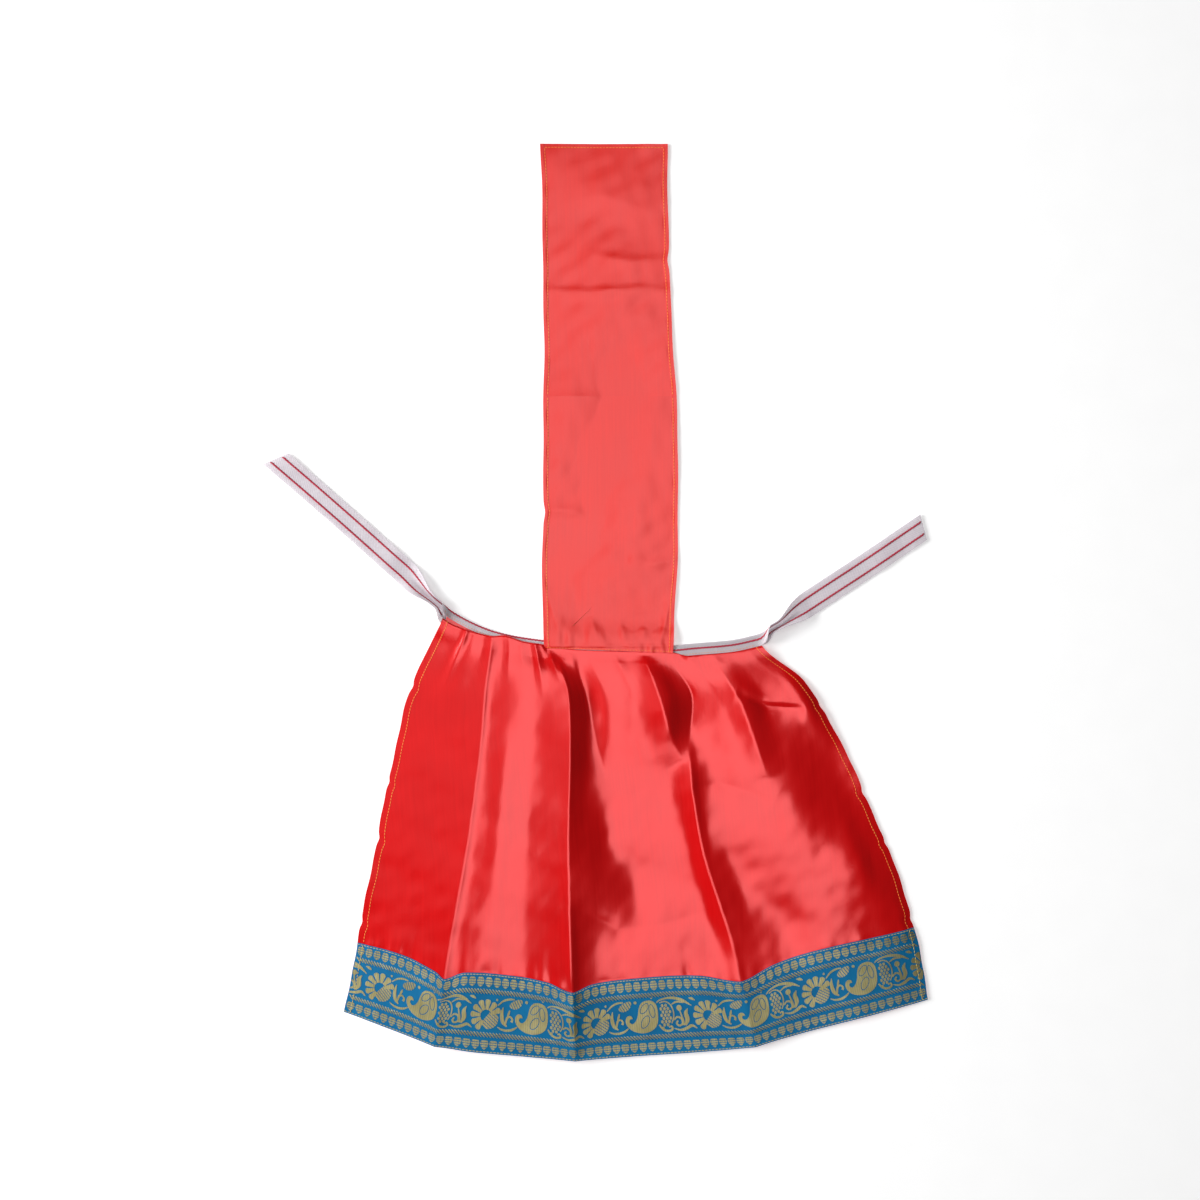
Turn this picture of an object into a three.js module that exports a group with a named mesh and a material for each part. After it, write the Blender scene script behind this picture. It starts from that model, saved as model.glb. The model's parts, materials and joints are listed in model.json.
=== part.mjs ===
// A costume drape: a gathered satin skirt panel with a woven border along its hem, a long
// shoulder sash sewn over the waist, and one waist tape, folded over the gathers as a binding,
// whose loose ends are the two ties. It lies face up on a table.
//
// Millimetres. +X runs across the drape, +Y from the hem to the sash's free end, +Z up from the
// table. The exported group's origin is the centre of the drape's outline, on the table.
// While the pieces are made, y = 0 is the line where the sash turns up from the waist.

import * as THREE from "three";

// ---- Driving dimensions ------------------------------------------------------------------

const SATIN = 0.8; // thickness of the satin
const WEAVE = 0.7; // thickness of the border ribbon
const TAPE = 0.8; // thickness of the cotton tape
const THREAD = 0.5; // height of a row of stitches
const THREAD_WIDTH = 0.8;
const GAP = 0.3; // clearance between two pieces that lie on each other

const WAIST_WIDTH = 320; // gathered width, corner to corner
const HEM_WIDTH = 583; // width of the spread hem
const SKIRT_LENGTH = 400; // waist seam to the middle of the hem
const BORDER_WIDTH = 75;
const BORDER_OVERHANG = 1.5; // the border's lower edge past the satin's

const SASH_LENGTH = 511;
const SASH_WIDTH = 130;
const SASH_CENTRE = 11; // the sash sits this far right of the waist's middle
const SASH_LEAN = -5; // sideways drift of the sash over its length
const SASH_LAP = 9; // the part sewn down over the waist tape
const SASH_END_LENGTH = 146.5; // beyond the cross crease
const SASH_LEVEL = 9; // past its fold the sash lies level this far, over the tape
const SASH_LANDING = 40; // where it has come down to the table

const TAPE_WIDTH = 25;
const FOLD_ABOVE_EDGE = 2.5; // the folded tape stands this far above the satin's raw edge
const BINDING_OVERRUN = 9; // the binding runs past the gathers before a tie begins
const LEFT_TIE_LENGTH = 214;
const RIGHT_TIE_LENGTH = 188;
const LEFT_TIE_ANGLE = 137; // degrees from +X
const RIGHT_TIE_ANGLE = 34.5;
const TIE_TWIST_LENGTH = 38; // the stretch over which a tie turns flat

const SIDE_HEM = 6; // turned hem, edge to stitching
const EDGE_STITCH = 2.5; // border edge to its stitching
const CREASE_HEIGHT = 19; // the pressed creases stand this high
const CREASE_REACH = 42; // half the width of a crease's rise
const FOLD_RADIUS = 1.2; // cloth folds about a line this far above its face
const PIVOT_GAP = 1; // half the gap that is left open at a fold or a twist

// ---- The skirt's lines -------------------------------------------------------------------

// Each line runs from the waist to the hem: the left side, three pressed creases, the right side.
// waist and hem are shares of the waist and hem widths, rise and drop are shares of the skirt's
// length, and bow is how far the line leaves the straight one at each of BOW_AT.
const BOW_AT = [0, 0.1, 0.25, 0.5, 0.75, 1];
const SKIRT_LINES = [
  { waist: -0.475, rise: 0.09, hem: -0.434, drop: 0.909, bow: [0, -10, -17, -13, -7, 0] },
  { waist: -0.331, rise: 0.045, hem: -0.278, drop: 0.99, bow: [0, 1, 4, 5, 1, 0] },
  { waist: -0.144, rise: 0.01, hem: -0.039, drop: 1.02, bow: [0, 14, 13, 5, 2, 0] },
  { waist: 0.206, rise: -0.02, hem: 0.268, drop: 0.988, bow: [0, 17, 2, -8, 0, 0] },
  { waist: 0.494, rise: 0.022, hem: 0.566, drop: 0.879, bow: [0, 20, 33, 33, 24, 0] },
];
const LAST_PANEL = SKIRT_LINES.length - 2;

// A smooth curve through a table of values, read at x.
function smoothTable(at, values, x) {
  let i = 0;
  while (i < at.length - 2 && x > at[i + 1]) i++;
  const slope = (k) => {
    const before = Math.max(0, k - 1);
    const after = Math.min(at.length - 1, k + 1);
    return (values[after] - values[before]) / (at[after] - at[before]);
  };
  const span = at[i + 1] - at[i];
  const t = (x - at[i]) / span;
  const u = 1 - t;
  const ends = u * u * (1 + 2 * t) * values[i] + t * t * (3 - 2 * t) * values[i + 1];
  return ends + t * u * span * (u * slope(i) - t * slope(i + 1));
}

// A point of one skirt line in plan, v = 0 at the waist and 1 at the hem.
function linePoint(line, v) {
  const x = THREE.MathUtils.lerp(line.waist * WAIST_WIDTH, line.hem * HEM_WIDTH, v);
  const y = THREE.MathUtils.lerp(line.rise, -line.drop, v) * SKIRT_LENGTH;
  return new THREE.Vector2(x + smoothTable(BOW_AT, line.bow, v), y);
}

// The waist line passes through the tops of the skirt's lines, and runs on at each end towards
// the tie.
function headingOf(degrees) {
  const angle = THREE.MathUtils.degToRad(degrees);
  return new THREE.Vector2(Math.cos(angle), Math.sin(angle));
}
const tops = SKIRT_LINES.map((line) => linePoint(line, 0));
const waistEnds = [
  tops[0].clone().addScaledVector(headingOf(LEFT_TIE_ANGLE), BINDING_OVERRUN),
  tops.at(-1).clone().addScaledVector(headingOf(RIGHT_TIE_ANGLE), BINDING_OVERRUN),
];
const waistCurve = new THREE.CatmullRomCurve3(
  [waistEnds[0], ...tops, waistEnds[1]].map((p) => new THREE.Vector3(p.x, p.y, 0)),
);
const waistSpans = tops.length + 1;

// The columns of the skirt's grid: shares of each panel between two lines, and the two rows of
// side stitching, which keep a fixed distance from their edges.
const PANEL_SHARES = [0, 0.16, 0.36, 0.64, 0.84];
function skirtColumns() {
  const columns = [];
  for (let panel = 0; panel < SKIRT_LINES.length - 1; panel++)
    for (const share of PANEL_SHARES) columns.push({ panel, share });
  columns.push({ panel: LAST_PANEL, share: 1 });
  columns.splice(1, 0, { panel: 0, inset: SIDE_HEM });
  columns.splice(-1, 0, { panel: LAST_PANEL, inset: -SIDE_HEM });
  return columns;
}

// A point of a column in plan. It is straight between two lines, but the raw edge at the waist
// follows the waist line, and the difference fades out below it.
function planPoint(column, v) {
  const a = linePoint(SKIRT_LINES[column.panel], v);
  const b = linePoint(SKIRT_LINES[column.panel + 1], v);
  let share = column.share;
  if (column.inset) share = (column.inset > 0 ? 0 : 1) + column.inset / a.distanceTo(b);
  const edge = waistCurve.getPoint((1 + column.panel + share) / waistSpans);
  const straight = tops[column.panel].clone().lerp(tops[column.panel + 1], share);
  return a.lerp(b, share).addScaledVector(straight.sub(edge), -((1 - v) ** 6));
}

// Height of the satin's underside. In the binding it lies in the fold of the tape, and below
// that it comes down to the table, apart from the creases, which stand up from it.
const IN_BINDING = TAPE + GAP;
const BINDING_SHARE = (0.5 * TAPE_WIDTH + 2) / SKIRT_LENGTH;
const SETTLED_SHARE = 0.09;
function skirtHeight(plan, v) {
  const settle = THREE.MathUtils.smoothstep(v, BINDING_SHARE, SETTLED_SHARE);
  const crest = CREASE_HEIGHT * settle * (1 - 0.5 * v ** 3);
  let height = 0;
  for (const line of SKIRT_LINES.slice(1, -1)) {
    const nearness = Math.max(0, 1 - plan.distanceTo(linePoint(line, v)) / CREASE_REACH);
    height = Math.max(height, crest * nearness ** 2);
  }
  return height + IN_BINDING * (1 - settle);
}

// The grid of the satin's underside at the given rows, raised by lift. Rows past v = 1 run
// straight on along each column.
function skirtGrid(rows, lift) {
  return rows.map((v) =>
    skirtColumns().map((column) => {
      const plan = planPoint(column, Math.min(v, 1));
      const z = skirtHeight(plan, Math.min(v, 1)) + lift;
      if (v > 1) plan.add(new THREE.Vector2(0, (1 - v) * SKIRT_LENGTH));
      return new THREE.Vector3(plan.x, plan.y, z);
    }),
  );
}

const BORDER_TOP = 1 - BORDER_WIDTH / SKIRT_LENGTH;
const BORDER_END = 1 + BORDER_OVERHANG / SKIRT_LENGTH;
const UPPER_STITCH = BORDER_TOP + EDGE_STITCH / SKIRT_LENGTH;
const LOWER_STITCH = 1 - EDGE_STITCH / SKIRT_LENGTH;
const BORDER_MIDDLE = (BORDER_TOP + 1) / 2;
const SKIRT_ROWS = [0, BINDING_SHARE, SETTLED_SHARE, 0.16, 0.28, 0.42, 0.56, 0.7];
const BORDER_ROWS = [BORDER_TOP, UPPER_STITCH, BORDER_MIDDLE, LOWER_STITCH, 1];

// ---- Solids ------------------------------------------------------------------------------

// A closed solid from a grid of underside points, its upper face thickness above them.
function sheetSolid(grid, thickness) {
  const rows = grid.length;
  const columns = grid[0].length;
  const positions = [];
  for (const lift of [0, thickness])
    for (const row of grid) for (const p of row) positions.push(p.x, p.y, p.z + lift);
  const index = [];
  const id = (layer, r, c) => (layer * rows + r) * columns + c;
  const quad = (a, b, c, d) => index.push(a, b, c, a, c, d);
  for (let r = 0; r < rows - 1; r++)
    for (let c = 0; c < columns - 1; c++) {
      quad(id(0, r, c), id(0, r, c + 1), id(0, r + 1, c + 1), id(0, r + 1, c));
      quad(id(1, r, c), id(1, r + 1, c), id(1, r + 1, c + 1), id(1, r, c + 1));
    }
  for (let c = 0; c < columns - 1; c++) {
    quad(id(0, 0, c), id(1, 0, c), id(1, 0, c + 1), id(0, 0, c + 1));
    quad(id(0, rows - 1, c), id(0, rows - 1, c + 1), id(1, rows - 1, c + 1), id(1, rows - 1, c));
  }
  for (let r = 0; r < rows - 1; r++) {
    quad(id(0, r, 0), id(0, r + 1, 0), id(1, r + 1, 0), id(1, r, 0));
    const last = columns - 1;
    quad(id(0, r, last), id(1, r, last), id(1, r + 1, last), id(0, r + 1, last));
  }
  return indexed(positions, index);
}

function indexed(positions, index) {
  const geometry = new THREE.BufferGeometry();
  geometry.setAttribute("position", new THREE.Float32BufferAttribute(positions, 3));
  geometry.setIndex(index);
  geometry.computeVertexNormals();
  return geometry;
}

// A closed solid through equal sections. Seen from its far end, each section's points run
// anticlockwise, and flat holds the same section in its own plane, for the two end caps.
function loftSolid(sections, flat) {
  const count = flat.length;
  const index = [];
  for (let s = 0; s < sections.length - 1; s++)
    for (let k = 0; k < count; k++) {
      const a = s * count + k;
      const b = s * count + ((k + 1) % count);
      index.push(a, b, b + count, a, b + count, a + count);
    }
  const end = (sections.length - 1) * count;
  for (const [a, b, c] of THREE.ShapeUtils.triangulateShape(flat, [])) {
    index.push(a, c, b);
    index.push(end + a, end + b, end + c);
  }
  return indexed(sections.flat().flatMap((p) => [p.x, p.y, p.z]), index);
}

// A row of stitches: a thin strip along a path of points, lift above them.
function threadSolid(path, lift) {
  const run = path.at(-1).clone().sub(path[0]).setZ(0).normalize();
  const side = new THREE.Vector3(-run.y, run.x, 0).multiplyScalar(THREAD_WIDTH / 2);
  const up = new THREE.Vector3(0, 0, lift);
  const grid = path.map((p) => [-1, 1].map((s) => p.clone().add(up).addScaledVector(side, s)));
  return sheetSolid(grid, THREAD);
}

// ---- Materials and the group -------------------------------------------------------------

function cloth(color, roughness, metalness = 0) {
  return new THREE.MeshStandardMaterial({ color, roughness, metalness });
}
const redSatin = cloth(0xd92a2a, 0.4);
const blueBrocade = cloth(0x1f7fae, 0.6, 0.15);
const whiteTape = cloth(0xe6e2e6, 0.85);
const orangeThread = cloth(0xff8a3c, 0.6);
const goldThread = cloth(0xd8bb5a, 0.5);

const drape = new THREE.Group();
function add(name, geometry, material) {
  const mesh = new THREE.Mesh(geometry, material);
  mesh.name = name;
  drape.add(mesh);
  return mesh;
}

// ---- Skirt and border --------------------------------------------------------------------

const ON_SATIN = SATIN + GAP;
const ON_BORDER = ON_SATIN + WEAVE + GAP;

function makeSkirt() {
  add("skirt_panel", sheetSolid(skirtGrid([...SKIRT_ROWS, ...BORDER_ROWS], 0), SATIN), redSatin);
  const borderRows = [...BORDER_ROWS.slice(0, -1), BORDER_END];
  add("hem_border", sheetSolid(skirtGrid(borderRows, ON_SATIN), WEAVE), blueBrocade);
}

function makeSkirtStitching() {
  const below = SKIRT_ROWS.slice(2);
  const sideRows = [...below, BORDER_TOP - EDGE_STITCH / SKIRT_LENGTH];
  const columns = skirtGrid(sideRows, 0);
  const left = columns.map((row) => row[1]);
  const right = columns.map((row) => row[row.length - 2]);
  add("skirt_left_stitching", threadSolid(left, ON_SATIN), orangeThread);
  add("skirt_right_stitching", threadSolid(right, ON_SATIN), orangeThread);
  const [upper, lower] = skirtGrid([UPPER_STITCH, LOWER_STITCH], 0);
  add("border_upper_stitching", threadSolid(upper, ON_BORDER), goldThread);
  add("border_lower_stitching", threadSolid(lower, ON_BORDER), goldThread);
}

// ---- Waist tape --------------------------------------------------------------------------

const WAIST_STEPS = 4 * waistSpans;
const HALF_TAPE = TAPE_WIDTH / 2;
const FRONT_LEAF = IN_BINDING + SATIN + GAP + 0.2; // height of the front leaf's underside
const WAIST_TOP = FRONT_LEAF + TAPE;

// A point beside the waist line: n millimetres above it in plan, at height z.
function besideWaist(t, n, z) {
  const p = waistCurve.getPoint(t);
  const along = waistCurve.getTangent(t);
  return new THREE.Vector3(p.x - along.y * n, p.y + along.x * n, z);
}

// The tape folded in half over the gathers: a back leaf, the fold and a front leaf.
function makeWaistTape() {
  const low = FOLD_ABOVE_EDGE - HALF_TAPE;
  const high = FOLD_ABOVE_EDGE;
  const inner = high - TAPE;
  const outline = [
    [low, 0], [high, 0], [high, WAIST_TOP], [low, WAIST_TOP],
    [low, FRONT_LEAF], [inner, FRONT_LEAF], [inner, TAPE], [low, TAPE],
  ].map(([n, z]) => new THREE.Vector2(n, z));
  const sections = [];
  for (let i = 0; i <= WAIST_STEPS; i++)
    sections.push(outline.map((q) => besideWaist(i / WAIST_STEPS, q.x, q.y)));
  add("waist_tape", loftSolid(sections, outline), whiteTape);
}

// A row beside the waist line, from one share of its length to another.
function waistRow(n, z, from, to) {
  const path = [];
  for (let i = 0; i <= WAIST_STEPS; i++) {
    const t = THREE.MathUtils.lerp(from, to, i / WAIST_STEPS);
    path.push(besideWaist(t, n, z));
  }
  return path;
}

// Where the waist line passes a given x, by halving.
function waistAt(x) {
  let low = 0;
  let high = 1;
  for (let i = 0; i < 40; i++) {
    const middle = (low + high) / 2;
    if (waistCurve.getPoint(middle).x < x) low = middle;
    else high = middle;
  }
  return low;
}

// The binding is sewn down near its front leaf's edge, on both sides of the sash. Inside the
// fold, above the satin's raw edge, lies the thread that draws up the gathers.
const ROW_ABOVE_LEAF_EDGE = 1.8;
const ROW_BEFORE_SASH = 3;
function makeWaistStitching() {
  const n = FOLD_ABOVE_EDGE - HALF_TAPE + ROW_ABOVE_LEAF_EDGE;
  const z = WAIST_TOP + GAP;
  const before = waistAt(SASH_CENTRE - SASH_WIDTH / 2 - ROW_BEFORE_SASH);
  const after = waistAt(SASH_CENTRE + SASH_WIDTH / 2 + ROW_BEFORE_SASH);
  add("waist_left_stitching", threadSolid(waistRow(n, z, 0.02, before), 0), orangeThread);
  add("waist_right_stitching", threadSolid(waistRow(n, z, after, 0.98), 0), orangeThread);
  const inside = FOLD_ABOVE_EDGE - TAPE - GAP - THREAD_WIDTH / 2;
  const gathers = waistRow(inside, IN_BINDING, 1 / waistSpans, 1 - 1 / waistSpans);
  add("gathering_thread", threadSolid(gathers, 0), orangeThread);
}

// ---- Ties --------------------------------------------------------------------------------

// A tie leaves the binding folded and on edge, and opens out flat over its twist.
// side is -1 for the left tie and +1 for the right one. Returns its pivot in plan.
function makeTie(name, side, length, degrees) {
  const t = side < 0 ? 0 : 1;
  const start = besideWaist(t, FOLD_ABOVE_EDGE - HALF_TAPE / 2, 0);
  const outward = waistCurve.getTangent(t).multiplyScalar(side);
  const heading = headingOf(degrees);
  const pivot = new THREE.Vector2(start.x, start.y).addScaledVector(outward, 2 * PIVOT_GAP);
  const sections = [];
  const stations = [0, 0.15, 0.35, 0.55, 0.75, 1, 2, 3, 4, 5].map((s) =>
    s <= 1 ? s * TIE_TWIST_LENGTH : THREE.MathUtils.lerp(TIE_TWIST_LENGTH, length, (s - 1) / 4),
  );
  for (const s of stations) {
    const opened = THREE.MathUtils.smoothstep(s, 0, TIE_TWIST_LENGTH);
    const half = THREE.MathUtils.lerp(0.24 * TAPE_WIDTH, HALF_TAPE, opened);
    const turn = THREE.MathUtils.degToRad(80 * (1 - opened));
    const centre = pivot.clone().addScaledVector(heading, s + PIVOT_GAP);
    const lift = half * Math.sin(turn) + (TAPE / 2) * Math.cos(turn);
    sections.push(tieSection(centre, heading, half, turn, lift));
  }
  add(name, loftSolid(sections, TIE_OUTLINE), whiteTape);
  return pivot;
}

// A tie's section has its width turned about the heading by the given angle.
const TIE_OUTLINE = [[-1, -1], [1, -1], [1, 1], [-1, 1]].map(([a, b]) => new THREE.Vector2(a, b));
function tieSection(centre, heading, half, turn, lift) {
  return TIE_OUTLINE.map((q) => {
    const across = q.x * half * Math.cos(turn) - q.y * (TAPE / 2) * Math.sin(turn);
    const up = q.x * half * Math.sin(turn) + q.y * (TAPE / 2) * Math.cos(turn);
    const x = centre.x - heading.y * across;
    const y = centre.y + heading.x * across;
    return new THREE.Vector3(x, y, up + lift);
  });
}

// ---- Sash --------------------------------------------------------------------------------

const SASH_END = SASH_LENGTH - SASH_LAP;
const SASH_CREASE = SASH_END - SASH_END_LENGTH;
const LAP_HEIGHT = WAIST_TOP + GAP;

// Height of the sash's underside: on the waist tape, then down to the table.
function sashHeight(y) {
  return LAP_HEIGHT * (1 - THREE.MathUtils.smoothstep(y, SASH_LEVEL, SASH_LANDING));
}

// The sash's centre line drifts sideways along its length.
function sashX(share, y) {
  return SASH_CENTRE + share * SASH_WIDTH + (SASH_LEAN * Math.max(0, y)) / SASH_END;
}

const SASH_HEM_SHARE = 0.5 - SIDE_HEM / SASH_WIDTH;
function sashGrid(ys) {
  return ys.map((y) =>
    [-0.5, -SASH_HEM_SHARE, 0, SASH_HEM_SHARE, 0.5].map(
      (share) => new THREE.Vector3(sashX(share, y), y, sashHeight(y)),
    ),
  );
}

function sashPoint(share, y, lift) {
  return new THREE.Vector3(sashX(share, y), y, sashHeight(y) + lift);
}

// Rows of stitches, along one side or straight across.
const ROW_CLEARANCE = 4; // they stop this far from a fold and from each other
function sashSideRow(name, share, ys) {
  add(name, threadSolid(ys.map((y) => sashPoint(share, y, 0)), SATIN + GAP), orangeThread);
}
function sashCrossRow(name, y) {
  const path = [-0.48, 0.48].map((share) => sashPoint(share, y, 0));
  add(name, threadSolid(path, SATIN + GAP), orangeThread);
}

function makeSash() {
  const slope = [0, 0.2, 0.4, 0.6, 0.8, 1].map((t) => THREE.MathUtils.lerp(SASH_LEVEL, SASH_LANDING, t));
  const flat = [0.4, 0.7].map((t) => THREE.MathUtils.lerp(SASH_LANDING, SASH_CREASE, t));
  const lower = [SASH_CREASE - PIVOT_GAP, ...flat.toReversed(), ...slope.toReversed(), PIVOT_GAP];
  const upper = [SASH_END, SASH_CREASE + PIVOT_GAP];
  add("sash_seam_lap", sheetSolid(sashGrid([-PIVOT_GAP, -SASH_LAP]), SATIN), redSatin);
  add("sash_lower", sheetSolid(sashGrid(lower), SATIN), redSatin);
  add("sash_upper", sheetSolid(sashGrid(upper), SATIN), redSatin);

  const lowerRow = [SASH_CREASE - ROW_CLEARANCE, ...lower.slice(1, -1)];
  const upperRow = [SASH_END - SIDE_HEM - ROW_CLEARANCE, SASH_CREASE + ROW_CLEARANCE];
  for (const [side, share] of [["left", -SASH_HEM_SHARE], ["right", SASH_HEM_SHARE]]) {
    sashSideRow(`sash_lower_${side}_stitching`, share, lowerRow);
    sashSideRow(`sash_upper_${side}_stitching`, share, upperRow);
  }
  sashCrossRow("sash_end_stitching", SASH_END - SIDE_HEM);
  sashCrossRow("sash_seam_stitching", -SASH_LAP / 2);
}

// ---- Assembly ----------------------------------------------------------------------------

makeSkirt();
makeSkirtStitching();
makeWaistTape();
makeWaistStitching();
makeSash();
const leftPivot = makeTie("left_tie", -1, LEFT_TIE_LENGTH, LEFT_TIE_ANGLE);
const rightPivot = makeTie("right_tie", 1, RIGHT_TIE_LENGTH, RIGHT_TIE_ANGLE);

// The folds and twists that the drape turns about, marked by empty objects.
function mark(name, x, y, z) {
  const point = new THREE.Object3D();
  point.name = name;
  point.position.set(x, y, z);
  drape.add(point);
}
mark("sash_fold", SASH_CENTRE, 0, LAP_HEIGHT + SATIN + FOLD_RADIUS);
mark("sash_end_fold", sashX(0, SASH_CREASE), SASH_CREASE, SATIN + FOLD_RADIUS);
mark("left_tie_swing", leftPivot.x, leftPivot.y, 0);
mark("right_tie_swing", rightPivot.x, rightPivot.y, 0);

// The origin goes to the middle of the outline, on the table.
const outline = new THREE.Box3().setFromObject(drape);
const middle = outline.getCenter(new THREE.Vector3());
drape.position.set(-middle.x, -middle.y, -outline.min.z);
drape.updateMatrixWorld(true);

export default drape;
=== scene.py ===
"""A costume drape laid face up on a pale table: a gathered satin skirt panel with a woven border,
a satin sash over the waist, and one cotton tape that binds the gathers and ends in two ties.

Cloth is shaped in millimetres in the drape's own plan, where x = 0 is the middle of the waist and
y = 0 is the line where the sash turns up. to_frame() takes it to metres in the shared frame.
"""

import json
import math

import bmesh
import bpy
import numpy as np
from mathutils import Matrix, Vector
from mathutils.geometry import tessellate_polygon


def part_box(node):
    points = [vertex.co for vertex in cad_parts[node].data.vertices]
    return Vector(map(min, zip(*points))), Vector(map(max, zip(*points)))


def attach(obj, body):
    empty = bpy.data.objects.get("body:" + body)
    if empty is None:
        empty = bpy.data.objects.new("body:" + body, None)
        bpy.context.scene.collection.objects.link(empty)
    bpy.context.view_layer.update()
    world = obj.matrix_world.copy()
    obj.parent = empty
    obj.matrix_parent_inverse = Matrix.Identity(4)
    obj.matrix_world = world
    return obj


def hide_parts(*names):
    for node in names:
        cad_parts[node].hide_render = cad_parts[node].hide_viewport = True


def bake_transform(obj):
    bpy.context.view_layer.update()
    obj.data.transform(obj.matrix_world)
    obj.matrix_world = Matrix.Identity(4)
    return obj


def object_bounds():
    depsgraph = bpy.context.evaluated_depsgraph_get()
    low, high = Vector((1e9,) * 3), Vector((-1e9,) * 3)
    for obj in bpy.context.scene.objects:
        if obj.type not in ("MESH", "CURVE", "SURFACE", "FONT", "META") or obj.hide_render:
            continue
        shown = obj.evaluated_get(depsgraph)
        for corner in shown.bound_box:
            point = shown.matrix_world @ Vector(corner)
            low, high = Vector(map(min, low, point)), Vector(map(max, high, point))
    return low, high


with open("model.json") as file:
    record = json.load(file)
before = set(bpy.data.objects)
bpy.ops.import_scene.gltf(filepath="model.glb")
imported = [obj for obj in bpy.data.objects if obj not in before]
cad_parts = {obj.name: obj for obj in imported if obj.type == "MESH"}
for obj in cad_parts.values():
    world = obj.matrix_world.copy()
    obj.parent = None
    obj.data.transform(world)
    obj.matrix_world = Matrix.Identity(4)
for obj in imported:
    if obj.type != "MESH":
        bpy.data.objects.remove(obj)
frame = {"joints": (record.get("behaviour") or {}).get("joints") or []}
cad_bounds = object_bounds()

MM = 0.001
JOINTS = {joint["name"]: joint for joint in frame["joints"]}


def pivot(joint):
    return np.array(JOINTS[joint]["pos_m"]) / MM


def box_mm(node):
    low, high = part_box(node)
    return np.array(low) / MM, np.array(high) / MM


# ---- Sizes, from the frame where it holds them ----------------------------------------------

SASH_CENTRE = 11.0
ORIGIN = pivot("sash_fold")[:2] - (SASH_CENTRE, 0.0)
LEFT_PIVOT = pivot("left_tie_swing")[:2] - ORIGIN
RIGHT_PIVOT = pivot("right_tie_swing")[:2] - ORIGIN
SASH_CREASE = pivot("sash_end_fold")[1] - ORIGIN[1]
SASH_END = box_mm("sash_upper")[1][1] - ORIGIN[1]
HEM_WIDTH = np.ptp([corner[0] for corner in box_mm("skirt_panel")])
THREAD_SHARE = 0.969  # of the waist's width, spanned by the gathering thread
DEEPEST_DROP = 1.02  # of the skirt's length, where the middle crease meets the hem
WAIST_WIDTH = np.ptp([corner[0] for corner in box_mm("gathering_thread")]) / THREAD_SHARE
SKIRT_LENGTH = (ORIGIN[1] - box_mm("skirt_panel")[0][1]) / DEEPEST_DROP

TAPE_WIDTH = 25.0
HALF_TAPE = TAPE_WIDTH / 2
FOLD_ABOVE_EDGE = 2.5
SATIN = 0.35
RIBBON = 0.5
COTTON = 0.6
SIDE_HEM = 6.0
SEWN_GAP = 0.1

# ---- Curves and tables ----------------------------------------------------------------------


def smooth_table(at, values, x):
    """A smooth curve through values[..., i] at at[i], read at each x (clamped to the ends)."""
    at = np.asarray(at, float)
    values = np.asarray(values, float)
    x = np.clip(x, at[0], at[-1])
    i = np.clip(np.searchsorted(at, x, side="right") - 1, 0, len(at) - 2)
    before = np.maximum(np.arange(len(at)) - 1, 0)
    after = np.minimum(np.arange(len(at)) + 1, len(at) - 1)
    slope = (values[..., after] - values[..., before]) / (at[after] - at[before])
    span = at[i + 1] - at[i]
    t = (x - at[i]) / span
    u = 1 - t
    ends = u * u * (1 + 2 * t) * values[..., i] + t * t * (3 - 2 * t) * values[..., i + 1]
    return ends + t * u * span * (u * slope[..., i] - t * slope[..., i + 1])


def smoothstep(x, low, high):
    t = np.clip((np.asarray(x, float) - low) / (high - low), 0, 1)
    return t * t * (3 - 2 * t)


def lerp(a, b, t):
    return a + (b - a) * t


def running_total(steps):
    return np.concatenate([[0], np.cumsum(steps)])


def ripples(x, y, length, seed, waves=7):
    """A smooth random surface between about -1 and 1, whose waves are about length long."""
    rng = np.random.default_rng(seed)
    total = np.zeros(np.broadcast(x, y).shape)
    for _ in range(waves):
        angle, phase = rng.uniform(0, 2 * math.pi, 2)
        k = 2 * math.pi / (length * rng.uniform(0.7, 1.4))
        total += np.sin(k * (x * math.cos(angle) + y * math.sin(angle)) + phase)
    return total / math.sqrt(waves)


def fold_height(x, y, path, height, left, right, sharp=1.6):
    """The rise of a fold along a path of points, fading over left and right millimetres on its
    two sides, left and right as seen when looking along the path, and at both of its ends."""
    path = np.asarray(path, float)
    starts, steps = path[:-1], np.diff(path, axis=0)
    lengths = np.hypot(*steps.T)
    run = running_total(lengths)
    best = np.full(np.shape(x), np.inf)
    side = np.zeros(np.shape(x))
    along = np.zeros(np.shape(x))
    for start, step, length, done in zip(starts, steps, lengths, run):
        dx, dy = x - start[0], y - start[1]
        t = np.clip((dx * step[0] + dy * step[1]) / length**2, 0, 1)
        away = np.hypot(dx - t * step[0], dy - t * step[1])
        nearer = away < best
        best = np.where(nearer, away, best)
        side = np.where(nearer, step[0] * dy - step[1] * dx, side)
        along = np.where(nearer, (done + t * length) / run[-1], along)
    reach = np.where(side > 0, left, right)
    ends = np.sin(math.pi * np.clip(along, 0, 1)) ** 0.6
    return height * ends * np.clip(1 - best / reach, 0, 1) ** sharp


# ---- The skirt's plan -----------------------------------------------------------------------

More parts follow.
